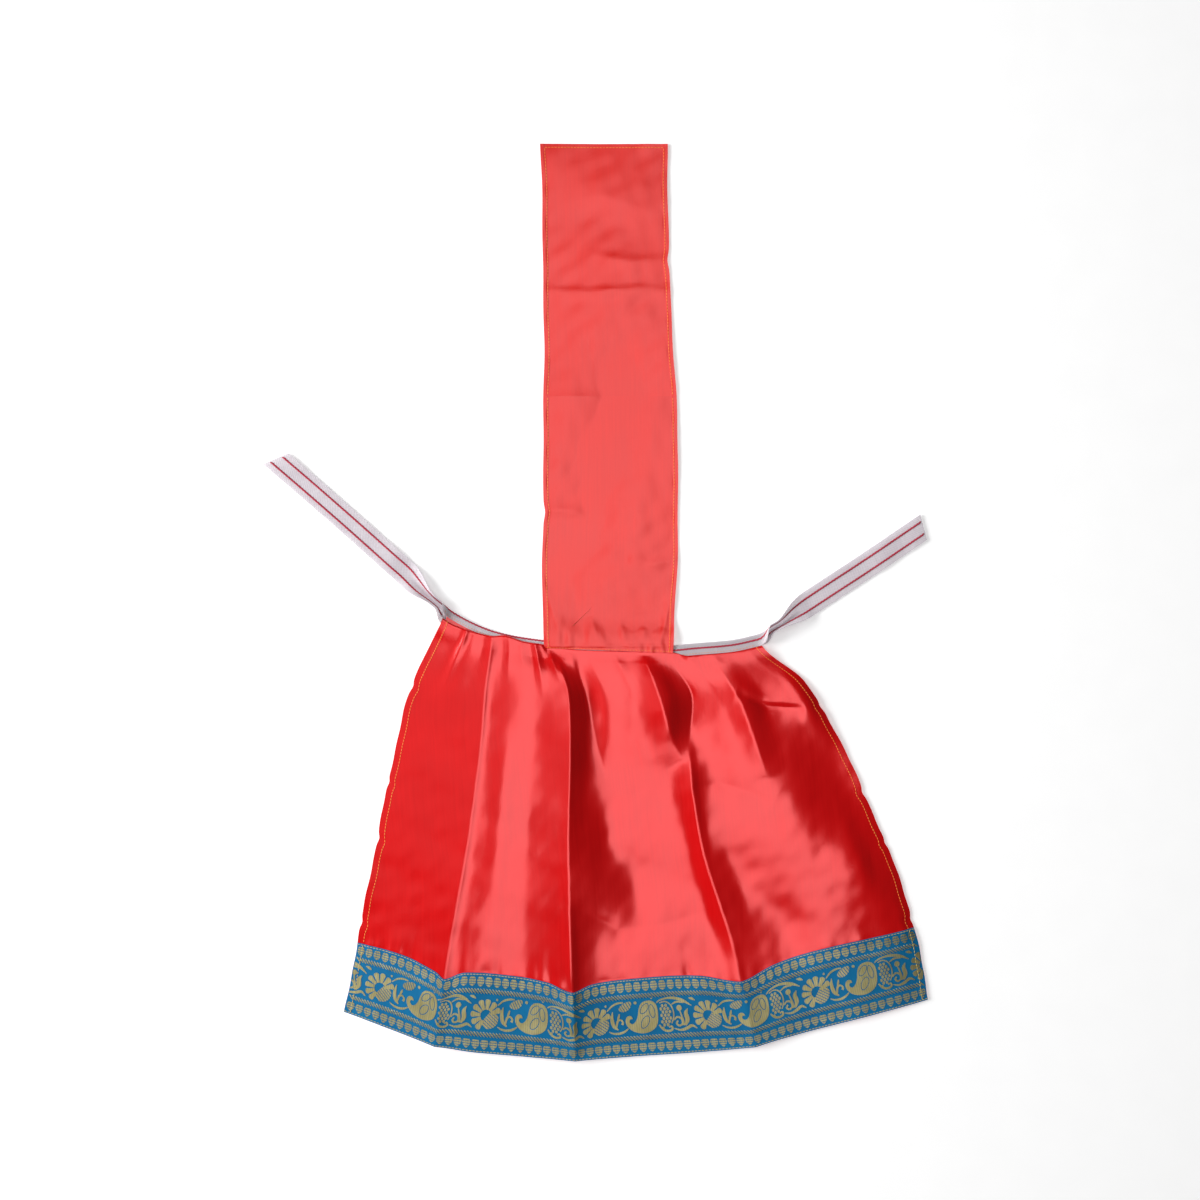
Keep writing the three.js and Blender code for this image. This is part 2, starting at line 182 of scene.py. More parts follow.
# The left side, three pressed creases and the right side, from the waist to the hem: shares of
# the waist's and the hem's width, and of the length above and below the sash's fold, and how
# far each line bows from the straight one at BOW_AT.
BOW_AT = [0, 0.04, 0.12, 0.25, 0.5, 0.75, 1]
SKIRT_LINES = [
    dict(waist=-0.475, rise=0.09, hem=-0.434, drop=0.909, bow=[0, -3, -11, -17, -13, -7, 0]),
    dict(waist=-0.331, rise=0.033, hem=-0.278, drop=0.99, bow=[0, 0.5, 1, 4, 5, 1, 0]),
    dict(waist=-0.144, rise=0.006, hem=-0.039, drop=DEEPEST_DROP,
         bow=[0, 5, 14, 13, 5, 2, 0]),
    dict(waist=0.206, rise=-0.006, hem=0.268, drop=0.988, bow=[0, 6, 17, 2, -8, 0, 0]),
    dict(waist=0.494, rise=0.022, hem=0.566, drop=0.879, bow=[0, 4, 27, 34, 33, 24, 0]),
]
PANELS = len(SKIRT_LINES) - 1


def line_points(v):
    """x and y of each skirt line at v, 0 at the waist and 1 at the hem: shape (lines, v)."""
    x = [lerp(s["waist"] * WAIST_WIDTH, s["hem"] * HEM_WIDTH, v) for s in SKIRT_LINES]
    y = [lerp(s["rise"], -s["drop"], v) * SKIRT_LENGTH for s in SKIRT_LINES]
    bow = [smooth_table(BOW_AT, s["bow"], v) for s in SKIRT_LINES]
    return np.array(x) + np.array(bow), np.array(y)


TOPS = np.array(line_points(0.0))
WAIST_AT = [-152, -143, -125, -106, -83, -54, -20, 40, 76, 91, 134, 158]
WAIST_LINE = [36, 30, 20.5, 13, 7.4, 3.2, -0.6, -2.6, -1.8, -0.2, 3.6, 8.8]


def waist_y(x):
    """The waist line, which is also the satin's raw edge inside the binding."""
    return smooth_table(WAIST_AT, WAIST_LINE, x)


def panel_of(u):
    """The number of the panel that each column lies on."""
    return np.clip(np.floor(u).astype(int), 0, PANELS - 1)


def skirt_plan(u, v):
    """x and y of a grid of the skirt: u, 0 to 4 across its panels, is its columns, v its rows."""
    line_x, line_y = line_points(v)
    panel = panel_of(u)
    share = u - panel
    x = lerp(line_x[panel], line_x[panel + 1], share[:, None]).T
    y = lerp(line_y[panel], line_y[panel + 1], share[:, None]).T
    top_x = lerp(TOPS[0][panel], TOPS[0][panel + 1], share)
    top_y = lerp(TOPS[1][panel], TOPS[1][panel + 1], share)
    return x, y + (waist_y(top_x) - top_y) * ((1 - v) ** 6)[:, None]


# ---- The skirt's height ---------------------------------------------------------------------

# How high the satin lies, in millimetres, at shares across each panel (columns) and at the
# heights of PANEL_ROWS down the skirt (rows). Neighbouring panels share their crease's height.
PANEL_ROWS = [0.03, 0.08, 0.16, 0.33, 0.47, 0.6, 0.72, 0.84, 1.0]
PANEL_SHARES = [0, 0.05, 0.15, 0.3, 0.45, 0.6, 0.8, 0.9, 1]
PANEL_HEIGHTS = [
    [
        [6, 6, 6, 6, 6, 6, 6, 6, 6],
        [4, 4.2, 4.4, 4.8, 6, 7.6, 8.8, 9.4, 10],
        [2.6, 3, 3.6, 5, 7, 9, 11, 12, 13],
        [1, 1.5, 2.6, 4.4, 6.3, 8.3, 10.9, 12.2, 13.5],
        [1, 1.5, 2.6, 4.5, 6.4, 8.3, 11, 12.4, 13.8],
        [1, 1.5, 2.6, 4.5, 6.4, 8.3, 11, 12.5, 14],
        [1, 1.5, 2.5, 4.4, 6.3, 8.1, 10.7, 12.1, 13.6],
        [1, 1.4, 2.4, 4.2, 6, 7.8, 10.2, 11.6, 13],
        [1, 1.2, 1.8, 2.8, 4, 5.2, 7, 8, 9],
    ],
    [
        [6, 6, 6, 6, 6, 6, 6, 6, 6],
        [10, 9.5, 9.8, 10.6, 11.2, 11.4, 12.4, 13, 14],
        [13, 12.2, 12.7, 14.2, 15, 14.8, 16.6, 17.6, 18.6],
        [13.5, 12.8, 13.3, 14.9, 14.3, 14.2, 16, 17.2, 18.6],
        [13.8, 13, 13.4, 14.9, 14.1, 13.9, 15.8, 17.1, 18.8],
        [14, 13.1, 13.5, 14.6, 13.5, 13.3, 15.4, 16.9, 19],
        [13.6, 12.6, 13, 13.4, 12.5, 12.2, 14.6, 16.3, 18.6],
        [13, 12, 12.2, 12.2, 11.5, 11.2, 13.2, 14.9, 17],
        [9, 8, 7.7, 7.3, 6.8, 6.5, 7.2, 8, 9],
    ],
    [
        [6, 6, 6, 6, 6, 6, 6, 6, 6],
        [14, 11.4, 7.8, 9.2, 9.8, 10.4, 10, 7.6, 5.6],
        [18.6, 14.2, 7.4, 10.8, 11.8, 13, 13.6, 9.2, 5],
        [18.6, 15.2, 10, 8, 7.4, 7.2, 7.8, 9.6, 13],
        [18.8, 16.6, 12.2, 6, 5.6, 5.8, 6.3, 7.4, 11],
        [19, 17.2, 13.6, 8, 3, 3.2, 3.9, 5, 9.5],
        [18.6, 14.6, 10.8, 9, 7.6, 6.4, 5.2, 5.4, 9],
        [17, 13, 9.8, 8, 7.4, 6.8, 6.2, 6.4, 8],
        [9, 7.2, 5.6, 4.8, 4.6, 4.6, 5, 5.6, 7],
    ],
    [
        [6, 6, 6, 6, 6, 6, 6, 6, 6],
        [5.6, 6.4, 7.4, 8.6, 8.4, 7, 5, 4, 2.5],
        [5, 6.8, 9.2, 12, 13, 10, 9.4, 9, 4],
        [13, 10.2, 8.8, 10.8, 12, 10, 5, 3, 2],
        [11, 9.2, 8.8, 10.2, 11.6, 11.8, 7.2, 3.8, 1.6],
        [9.5, 7.6, 4.8, 6.8, 9.4, 11.2, 11.4, 6, 1.6],
        [9, 7.2, 4.4, 3.6, 7.2, 9.4, 9.2, 6.8, 1.6],
        [8, 6.8, 5, 3.8, 6, 7.6, 7, 5.2, 1.2],
        [7, 6, 4.4, 3, 3.6, 4.4, 3.6, 2.6, 1],
    ],
]

# Folds on top of that: path, height, and how far each fades to its left and right.
SKIRT_FOLDS = [
    dict(path=[(-20, -4), (-18, -31), (-9, -58), (-2, -92), (7, -134)], height=-2.2, left=18,
         right=24),
    dict(path=[(46, -8), (62, -54), (75, -95), (84, -114)], height=4.2, left=24, right=26),
    dict(path=[(120, -20), (142, -56), (158, -100), (168, -130)], height=3, left=24, right=18),
    dict(path=[(92, -142), (118, -136), (150, -146), (172, -156)], height=-2, left=26, right=14),
    dict(path=[(138, -46), (168, -60), (205, -62)], height=-3, left=8, right=20),
    dict(path=[(-36, -252), (20, -282), (70, -276), (112, -262)], height=-1.8, left=22, right=26),
]


def panel_height(u, v):
    """The height that PANEL_HEIGHTS gives over a grid of the skirt."""
    panel = panel_of(u)
    height = np.zeros((len(v), len(u)))
    for p, table in enumerate(PANEL_HEIGHTS):
        columns = smooth_table(PANEL_SHARES, table, (u - p)[panel == p])
        height[:, panel == p] = smooth_table(PANEL_ROWS, columns.T, v).T
    return height


def gathers(u, v):
    """Small sharp puckers that run down from the binding and fade, over a grid of the skirt."""
    rng = np.random.default_rng(11)
    height = np.zeros((len(v), len(u)))
    for middle in np.arange(0.16, PANELS - 0.1, 0.26):
        middle += rng.uniform(-0.1, 0.1)
        drift = rng.uniform(-0.6, 0.6)
        width = rng.uniform(0.08, 0.26)
        tall = rng.uniform(0.5, 2.8)
        length = rng.uniform(0.06, 0.24)
        away = np.abs(u[None, :] - middle - drift * v[:, None])
        fade = np.clip(1 - v / length, 0, 1)[:, None] ** 1.3
        height += tall * fade * np.clip(1 - away / width, 0, 1) ** 1.4
    return height


def puckers(u, v):
    """Small dents and puffs where the border's seam draws the satin in, over a grid."""
    rng = np.random.default_rng(4)
    top = smooth_table(BORDER_AT, BORDER_TOP, u)
    height = np.zeros((len(v), len(u)))
    for middle in np.arange(0.1, PANELS, 0.12):
        middle += rng.uniform(-0.05, 0.05)
        width = rng.uniform(0.02, 0.05)
        tall = rng.uniform(-1.1, 1.1)
        length = rng.uniform(0.012, 0.05)
        above = (top[None, :] - v[:, None]) / length
        fade = np.exp(-np.where(above > 0, above, -3 * above))
        height += tall * fade * np.exp(-(((u[None, :] - middle) / width) ** 2))
    return height


def skirt_height(u, v, x, y):
    """The height of the satin's face over a grid of the skirt, without what lies on it."""
    height = panel_height(u, v)
    for fold in SKIRT_FOLDS:
        height += fold_height(x, y, **fold)
    height += gathers(u, v) + puckers(u, v)
    settled = smoothstep(v, 0.02, 0.2)[:, None]
    height += settled * (0.24 * ripples(x, y, 62, 3) + 0.07 * ripples(x, y, 21, 5))
    return np.maximum(height, SATIN + 0.3)


# ---- The skirt's surface --------------------------------------------------------------------

# The satin's way out of the binding, as (below the waist line, height): up inside the fold,
# out under the front leaf's edge and, where it puffs, back up over the leaf by its tip.
MAIN_START = 0.034
TIP_AT = [0, 0.2, 0.6, 1.0, 1.2, 1.35, 1.5, 1.88, 2.0, 3.05, 3.2, 4]
TIP = [8.5, 8.5, 5.5, 2.8, -1.0, -0.5, 1.2, 2.0, 3.4, 4.4, 10.4, 10.6]


def turned_top(u):
    """Rows of (below, height) for each column, from the raw edge to the start of the main rows.
    Under the sash the puff is pressed flat."""
    tip = smooth_table(TIP_AT, TIP, u)
    one = np.ones_like(u)
    pressed = smoothstep(u, 1.8, 1.9) * smoothstep(-u, -3.2, -3.1)
    return [
        (0.5 * one, 1.7 * one),
        (5.0 * one, 1.7 * one),
        (9.6 * one, 1.8 * one),
        (11.2 * one, 2.2 * one),
        (11.6 * one, 3.0 * one),
        (lerp(11.3, tip, 0.1), lerp(3.9, 3.65, pressed)),
        (lerp(11.0, tip, 0.6), lerp(4.3, 3.7, pressed)),
        (tip, lerp(4.6, 3.8, pressed)),
        (tip - 0.5, lerp(5.3, 4.0, pressed)),
        (tip + 0.1, lerp(6.1, 4.25, pressed)),
        (tip + 1.2, lerp(6.5, 4.4, pressed)),
        (lerp(tip, 12.6, 0.5), lerp(6.4, 4.7, pressed)),
    ]


PANEL_COLUMNS = [48, 60, 76, 72]
SKIRT_ROWS = 158
SKIRT_U = np.concatenate([p + np.arange(n) / n for p, n in enumerate(PANEL_COLUMNS)] + [[PANELS]])
SKIRT_V = np.linspace(MAIN_START, 1, SKIRT_ROWS)
SIDE_NOTCHES = (0.19, 0.43, 0.57, 0.78)  # where the side edges dip in, as shares of the length
NOTCH_DEPTH, NOTCH_LENGTH = 1.6, 0.011
SIDE_ZONE = 0.12  # how far in the side edges' waves reach, in panels
TOP_LEAN = 0.6  # how much of the gathers' height the turned top takes on


def skirt_surface():
    """The satin's face as a grid of points, in plan millimetres."""
    u, v = SKIRT_U, SKIRT_V
    x, y = skirt_plan(u, v)
    z = skirt_height(u, v, x, y)
    edge_x, edge_y = skirt_plan(u, np.array([0.0]))
    down = np.stack([x[0] - edge_x[0], y[0] - edge_y[0]])
    down /= np.hypot(*down)
    rows = []
    for below, height in turned_top(u):
        lean = gathers(u, np.array([MAIN_START]))[0] * smoothstep(height, 4.6, 6.5)
        rows.append(np.stack([
            edge_x[0] + down[0] * below, edge_y[0] + down[1] * below, height + TOP_LEAN * lean,
        ], axis=-1))
    top = rows[-1][:, 2]
    settle = (1 - smoothstep(v, MAIN_START, 0.07))[:, None]
    z = lerp(z, np.maximum(z, top[None, :]), settle)
    side = wavy_side(u, v)
    main = np.stack([x + side, y, z], axis=-1)
    return np.concatenate([np.array(rows), main])


def wavy_side(u, v):
    """The slight in and out of the two side edges."""
    left = np.clip(1 - u / SIDE_ZONE, 0, 1)[None, :]
    right = np.clip(1 - (PANELS - u) / SIDE_ZONE, 0, 1)[None, :]
    wave = 0.6 * np.sin(v * 23) + 0.3 * np.sin(v * 67 + 1)
    notches = sum(NOTCH_DEPTH * np.exp(-(((v - at) / NOTCH_LENGTH) ** 2)) for at in SIDE_NOTCHES)
    return wave[:, None] * (left + right) + notches[:, None] * (left - right)


# ---- Sheets ---------------------------------------------------------------------------------


def to_frame(points):
    points = np.array(points, float)
    points[..., :2] += ORIGIN
    return points * MM


def new_object(name, mesh):
    piece = bpy.data.objects.new(name, mesh)
    bpy.context.scene.collection.objects.link(piece)
    return piece


def make_sheet(name, points, flat):
    """A sheet from a grid of points, whose flat millimetres become its UV map, "flat"."""
    rows, columns = points.shape[:2]
    index = np.arange(rows * columns).reshape(rows, columns)
    quads = np.stack([index[1:, :-1], index[1:, 1:], index[:-1, 1:], index[:-1, :-1]], axis=-1)
    quads = quads.reshape(-1, 4)
    mesh = bpy.data.meshes.new(name)
    mesh.from_pydata(to_frame(points).reshape(-1, 3).tolist(), [], quads.tolist())
    uv = mesh.uv_layers.new(name="flat")
    uv.data.foreach_set("uv", (flat.reshape(-1, 2)[quads.ravel()] * MM).ravel())
    mesh.shade_smooth()
    return new_object(name, mesh)


FLAT_MARGIN = 400.0  # keeps every flat coordinate above zero


def flat_lengths(points):
    """Flat coordinates of a grid: true lengths along each row, from its middle, and up from the
    bottom of each column."""
    across = np.linalg.norm(np.diff(points, axis=1), axis=-1)
    down = np.linalg.norm(np.diff(points, axis=0), axis=-1)
    u = np.pad(np.cumsum(across, axis=1), ((0, 0), (1, 0)))
    v = np.pad(np.cumsum(down, axis=0), ((1, 0), (0, 0)))
    return np.stack([u - u[:, -1:] / 2 + FLAT_MARGIN, 2 * FLAT_MARGIN - v], axis=-1)


SHARP_ANGLE = math.radians(50)  # edges steeper than this stay crisp


def apply_modifiers(piece):
    """Leaves a piece as a plain mesh, with every modifier in it."""
    depsgraph = bpy.context.evaluated_depsgraph_get()
    depsgraph.update()
    mesh = bpy.data.meshes.new_from_object(piece.evaluated_get(depsgraph))
    piece.modifiers.clear()
    piece.data = mesh


def thicken(piece, thickness, offset=-1):
    """Gives a sheet its thickness, below its face or around its middle."""
    solidify = piece.modifiers.new("thickness", "SOLIDIFY")
    solidify.thickness = thickness * MM
    solidify.offset = offset
    solidify.use_even_offset = False
    apply_modifiers(piece)
    piece.data.set_sharp_from_angle(angle=SHARP_ANGLE)


# ---- Rows of stitches and patterns, laid on cloth by Geometry Nodes -------------------------


def socket(tree, name, kind, default=None, way="INPUT"):
    made = tree.interface.new_socket(name, in_out=way, socket_type=kind)
    if default is not None:
        made.default_value = default


TREE_INPUTS = {
    "Geometry": "NodeSocketGeometry", "Cloth": "NodeSocketObject", "Unit": "NodeSocketObject",
    "Pitch": "NodeSocketFloat", "Turn": "NodeSocketFloat", "Lift": "NodeSocketFloat",
    "Material": "NodeSocketMaterial",
}


def geometry_tree(name, *inputs):
    """A Geometry Nodes tree with these inputs: returns it, its calls for a new node and a new
    link, its inputs' node and its output's node."""
    tree = bpy.data.node_groups.new(name, "GeometryNodeTree")
    for label in inputs:
        socket(tree, label, TREE_INPUTS[label])
    socket(tree, "Geometry", "NodeSocketGeometry", way="OUTPUT")
    new = tree.nodes.new
    return tree, new, tree.links.new, new("NodeGroupInput"), new("NodeGroupOutput")


def laying_tree():
    """Bends a flat shape onto a cloth: x and y are its place on the cloth's flat map, and z its
    height above the face. The flat place stays on it as the attribute "flat"."""
    tree, new, link, given, made = geometry_tree("lay on cloth", "Geometry", "Cloth", "Lift")
    cloth = new("GeometryNodeObjectInfo")
    cloth.transform_space = "RELATIVE"
    link(given.outputs["Cloth"], cloth.inputs["Object"])
    flat = new("GeometryNodeInputNamedAttribute")
    flat.data_type = "FLOAT_VECTOR"
    flat.inputs["Name"].default_value = "flat"
    place = new("GeometryNodeInputPosition")
    store = new("GeometryNodeStoreNamedAttribute")
    store.data_type = "FLOAT_VECTOR"
    store.domain = "POINT"
    store.inputs["Name"].default_value = "flat"
    link(given.outputs["Geometry"], store.inputs["Geometry"])
    link(place.outputs[0], store.inputs["Value"])
    sampled = []
    for source in ("GeometryNodeInputPosition", "GeometryNodeInputNormal"):
        value = new(source)
        sample = new("GeometryNodeSampleUVSurface")
        sample.data_type = "FLOAT_VECTOR"
        link(cloth.outputs["Geometry"], sample.inputs[0])
        link(value.outputs[0], sample.inputs[1])
        link(flat.outputs["Attribute"], sample.inputs[2])
        link(place.outputs[0], sample.inputs[3])
        sampled.append(sample.outputs[0])
    height = new("ShaderNodeSeparateXYZ")
    link(place.outputs[0], height.inputs[0])
    raised = new("ShaderNodeMath")
    link(height.outputs["Z"], raised.inputs[0])
    link(given.outputs["Lift"], raised.inputs[1])
    outward = new("ShaderNodeVectorMath")
    outward.operation = "SCALE"
    link(sampled[1], outward.inputs[0])
    link(raised.outputs[0], outward.inputs["Scale"])
    total = new("ShaderNodeVectorMath")
    link(sampled[0], total.inputs[0])
    link(outward.outputs[0], total.inputs[1])
    move = new("GeometryNodeSetPosition")
    link(store.outputs[0], move.inputs["Geometry"])
    link(total.outputs[0], move.inputs["Position"])
    link(move.outputs[0], made.inputs[0])
    return tree


def lay_and_finish(new, link, given, flat_shape, laying, made):
    """The end of a tree: its flat shape is laid on the cloth and given its material."""
    lay = new("GeometryNodeGroup")
    lay.node_tree = laying
    link(flat_shape, lay.inputs["Geometry"])
    link(given.outputs["Cloth"], lay.inputs["Cloth"])
    link(given.outputs["Lift"], lay.inputs["Lift"])
    finish = new("GeometryNodeSetMaterial")
    link(lay.outputs[0], finish.inputs["Geometry"])
    link(given.outputs["Material"], finish.inputs["Material"])
    link(finish.outputs[0], made.inputs[0])


def row_tree(laying):
    """Repeats a unit along flat paths, pitch apart, and lays the row on a cloth."""
    tree, new, link, given, made = geometry_tree(
        "row on cloth", "Geometry", "Unit", "Pitch", "Turn", "Cloth", "Lift", "Material",
    )
    curve = new("GeometryNodeMeshToCurve")
    link(given.outputs["Geometry"], curve.inputs[0])
    resample = new("GeometryNodeResampleCurve")
    resample.mode = "LENGTH"
    link(curve.outputs[0], resample.inputs["Curve"])
    link(given.outputs["Pitch"], resample.inputs["Length"])
    along = new("GeometryNodeInputTangent")
    face = new("FunctionNodeAlignRotationToVector")
    face.axis = "X"
    face.pivot_axis = "Z"
    link(along.outputs[0], face.inputs["Vector"])
    turned = new("FunctionNodeRotateRotation")
    turned.rotation_space = "LOCAL"
    slant = new("ShaderNodeCombineXYZ")
    euler = new("FunctionNodeEulerToRotation")
    link(given.outputs["Turn"], slant.inputs["Z"])
    link(slant.outputs[0], euler.inputs[0])
    link(face.outputs[0], turned.inputs[0])
    link(euler.outputs[0], turned.inputs[1])
    unit = new("GeometryNodeObjectInfo")
    unit.inputs["As Instance"].default_value = False
    link(given.outputs["Unit"], unit.inputs["Object"])
    copies = new("GeometryNodeInstanceOnPoints")
    link(resample.outputs[0], copies.inputs["Points"])
    link(unit.outputs["Geometry"], copies.inputs["Instance"])
    link(turned.outputs[0], copies.inputs["Rotation"])
    realize = new("GeometryNodeRealizeInstances")
    link(copies.outputs[0], realize.inputs[0])
    lay_and_finish(new, link, given, realize.outputs[0], laying, made)
    return tree


def pattern_tree(laying):
    """Lays a flat pattern on a cloth and gives it its material."""
    tree, new, link, given, made = geometry_tree(
        "pattern on cloth", "Geometry", "Cloth", "Lift", "Material",
    )
    lay_and_finish(new, link, given, given.outputs["Geometry"], laying, made)
    return tree


LAYING = laying_tree()
ROW = row_tree(LAYING)
PATTERN = pattern_tree(LAYING)


def apply_tree(piece, tree, **values):
    """Runs a node tree on a piece with the given inputs, and leaves the result as its mesh."""
    modifier = piece.modifiers.new(tree.name, "NODES")
    modifier.node_group = tree
    names = {i.name: i.identifier for i in tree.interface.items_tree if i.in_out == "INPUT"}
    for name, value in values.items():
        modifier[names[name]] = value
    apply_modifiers(piece)


def from_bmesh(name, form):
    """Turns a bmesh into a piece."""
    mesh = bpy.data.meshes.new(name)
    form.to_mesh(mesh)
    form.free()
    return new_object(name, mesh)


AXIS_TO_X = Matrix.Rotation(math.pi / 2, 3, "Y")


def smooth_unit(name, length, width, height):
    """One stitch or float of thread: a small pointed oval, in millimetres."""
    form = bmesh.new()
    bmesh.ops.create_uvsphere(form, u_segments=8, v_segments=5, radius=0.5)
    bmesh.ops.rotate(form, verts=form.verts, matrix=AXIS_TO_X)
    bmesh.ops.scale(form, verts=form.verts, vec=(length * MM, width * MM, height * MM))
    unit = from_bmesh(name, form)
    unit.data.shade_smooth()
    return unit


def path_piece(name, paths):
    """Flat paths, lists of flat millimetre points, as one mesh of edges."""
    points, edges = [], []
    for path in paths:
        first = len(points)
        points += [(p[0] * MM, p[1] * MM, 0.0) for p in path]
        edges += [(first + i, first + i + 1) for i in range(len(path) - 1)]
    mesh = bpy.data.meshes.new(name)
    mesh.from_pydata(points, edges, [])
    return new_object(name, mesh)


def sewn_row(name, cloth, paths, unit, pitch, material, lift=0.1, turn=0.0):
    """A row of stitches along flat paths on a cloth."""
    piece = path_piece(name, paths)
    apply_tree(
        piece, ROW, Unit=unit, Pitch=pitch * MM, Turn=turn, Cloth=cloth, Lift=lift * MM,
        Material=material,
    )
    return piece


# ---- Materials ------------------------------------------------------------------------------


def srgb(red, green, blue):
    """A colour given as 0 to 255 screen values, in the linear numbers that shaders use."""
    def linear(c):
        c /= 255
        return c / 12.92 if c <= 0.04045 else ((c + 0.055) / 1.055) ** 2.4
    return (linear(red), linear(green), linear(blue), 1.0)


class Nodes:
    """Short calls for building a shader tree."""

    def __init__(self, tree):
        self.tree = tree

    def add(self, kind, **settings):
        node = self.tree.nodes.new(kind)
        for name, value in settings.items():
            setattr(node, name, value)
        return node

    def put(self, socket_in, value):
        if isinstance(value, bpy.types.NodeSocket):
            self.tree.links.new(value, socket_in)
        elif value is not None:
            socket_in.default_value = value

    def math(self, operation, a, b=None, c=None):
        node = self.add("ShaderNodeMath", operation=operation)
        for socket_in, value in zip(node.inputs, (a, b, c)):
            self.put(socket_in, value)
        return node.outputs[0]

    def mix(self, factor, a, b):
        node = self.add("ShaderNodeMix", data_type="RGBA")
        self.put(node.inputs[0], factor)
        self.put(node.inputs[6], a)
        self.put(node.inputs[7], b)
        return node.outputs[2]

    def scaled(self, vector, scale):
        node = self.add("ShaderNodeVectorMath", operation="MULTIPLY")
        self.put(node.inputs[0], vector)
        self.put(node.inputs[1], scale)
        return node.outputs[0]

    def noise(self, vector, scale, detail=2.0):
        node = self.add("ShaderNodeTexNoise")
        self.put(node.inputs["Vector"], vector)
        self.put(node.inputs["Scale"], scale)
        self.put(node.inputs["Detail"], detail)
        return node.outputs["Fac"]

    def range(self, value, low, high, to_low=0.0, to_high=1.0):
        node = self.add("ShaderNodeMapRange")
        for socket_in, v in zip(node.inputs, (value, low, high, to_low, to_high)):
            self.put(socket_in, v)
        return node.outputs[0]


def shader_group(name, inputs, outputs):
    tree = bpy.data.node_groups.new(name, "ShaderNodeTree")
    for label, kind, value in inputs:
        socket(tree, label, kind, value)
    for label in outputs:
        socket(tree, label, "NodeSocketFloat", way="OUTPUT")
    n = Nodes(tree)
    return tree, n, n.add("NodeGroupInput").outputs, n.add("NodeGroupOutput").inputs


VECTOR, FLOAT = "NodeSocketVector", "NodeSocketFloat"


def weave_group():
    """Threads crossing over and under each other."""
    tree, n, given, made = shader_group(
        "thread weave",
        [("Vector", VECTOR, None), ("Warp pitch", FLOAT, 0.0006), ("Weft pitch", FLOAT, 0.0006)],
        ["Height"],
    )
    axes = n.add("ShaderNodeSeparateXYZ")
    n.put(axes.inputs[0], given["Vector"])
    turns = []
    for axis, pitch in (("X", "Warp pitch"), ("Y", "Weft pitch")):
        turn = n.math("MULTIPLY", n.math("DIVIDE", axes.outputs[axis], given[pitch]), math.pi)
        turns.append(n.math("SINE", turn))
    crossing = n.math("MULTIPLY", *turns)
    n.put(made["Height"], n.math("MULTIPLY_ADD", crossing, 0.5, 0.5))
    return tree


def dye_group():
    """Uneven dye: slow patches and thin streaks along the threads."""
    tree, n, given, made = shader_group(
        "uneven dye",
        [("Vector", VECTOR, None), ("Patch scale", FLOAT, 14.0), ("Streak scale", FLOAT, 500.0)],
        ["Shade"],
    )
    patches = n.noise(given["Vector"], given["Patch scale"])
    streaks = n.noise(n.scaled(given["Vector"], (1.0, 0.03, 1.0)), given["Streak scale"])
    both = n.math("ADD", n.math("MULTIPLY", patches, 0.6), n.math("MULTIPLY", streaks, 0.4))
    n.put(made["Shade"], both)
    return tree


def crush_group():
    """The fine dents and slight ridges of handled cloth."""
    tree, n, given, made = shader_group(
        "handled cloth", [("Vector", VECTOR, None), ("Scale", FLOAT, 60.0)], ["Height"],
    )
    soft = n.noise(given["Vector"], given["Scale"], 3.0)
    fold = n.math("ABSOLUTE", n.math("SUBTRACT", soft, 0.5))
    n.put(made["Height"], n.math("SUBTRACT", 1.0, n.math("MULTIPLY", fold, 4.0)))
    return tree


WEAVE = weave_group()
DYE = dye_group()
CRUSH = crush_group()


def place_group(n, tree, **values):
    node = n.add("ShaderNodeGroup", node_tree=tree)
    for name, value in values.items():
        n.put(node.inputs[name.replace("_", " ").capitalize()], value)
    return node.outputs[0]


def dyed_and_woven(n, place, patch_scale, streak_scale, warp_pitch, weft_pitch):
    """The cloth's uneven dye and its weave at a place, both between 0 and 1."""
    shade = place_group(n, DYE, vector=place, patch_scale=patch_scale, streak_scale=streak_scale)
    weave = place_group(n, WEAVE, vector=place, warp_pitch=warp_pitch, weft_pitch=weft_pitch)
    return shade, weave


def new_material(name, **shader_values):
    """A material with a Principled shader: returns it, its node helper and the shader."""
    material = bpy.data.materials.new(name)
    material.use_nodes = True
    n = Nodes(material.node_tree)
    shader = material.node_tree.nodes["Principled BSDF"]
    for label, value in shader_values.items():
        shader.inputs[label.replace("_", " ")].default_value = value
    return material, n, shader


def flat_place(n):
    """Where a point is on the flat cloth, in metres, warp along Y."""
    return n.add("ShaderNodeAttribute", attribute_name="flat").outputs["Vector"]


def object_place(n):
    return n.add("ShaderNodeTexCoord").outputs["Object"]


def bumped(n, shader, height, strength, distance):
    bump = n.add("ShaderNodeBump")
    n.put(bump.inputs["Height"], height)
    bump.inputs["Strength"].default_value = strength
    bump.inputs["Distance"].default_value = distance
    n.put(shader.inputs["Normal"], bump.outputs[0])


def satin_material(name, deep, bright, metallic, roughness):
    material, n, shader = new_material(
        name, Metallic=metallic, Anisotropic=0.3, Specular_IOR_Level=0.85,
    )
    place = flat_place(n)
    shade, weave = dyed_and_woven(n, place, 14.0, 420.0, 0.00035, 0.0012)
    n.put(shader.inputs["Base Color"], n.mix(n.range(shade, 0.35, 0.65), deep, bright))
    n.put(shader.inputs["Roughness"], n.range(shade, 0.3, 0.7, roughness - 0.03, roughness + 0.03))
    crush = place_group(n, CRUSH, vector=place, scale=55.0)
    height = n.math("MULTIPLY_ADD", weave, 0.1, n.math("MULTIPLY", crush, 0.5))
    bumped(n, shader, height, 0.16, 0.0003)
    return material


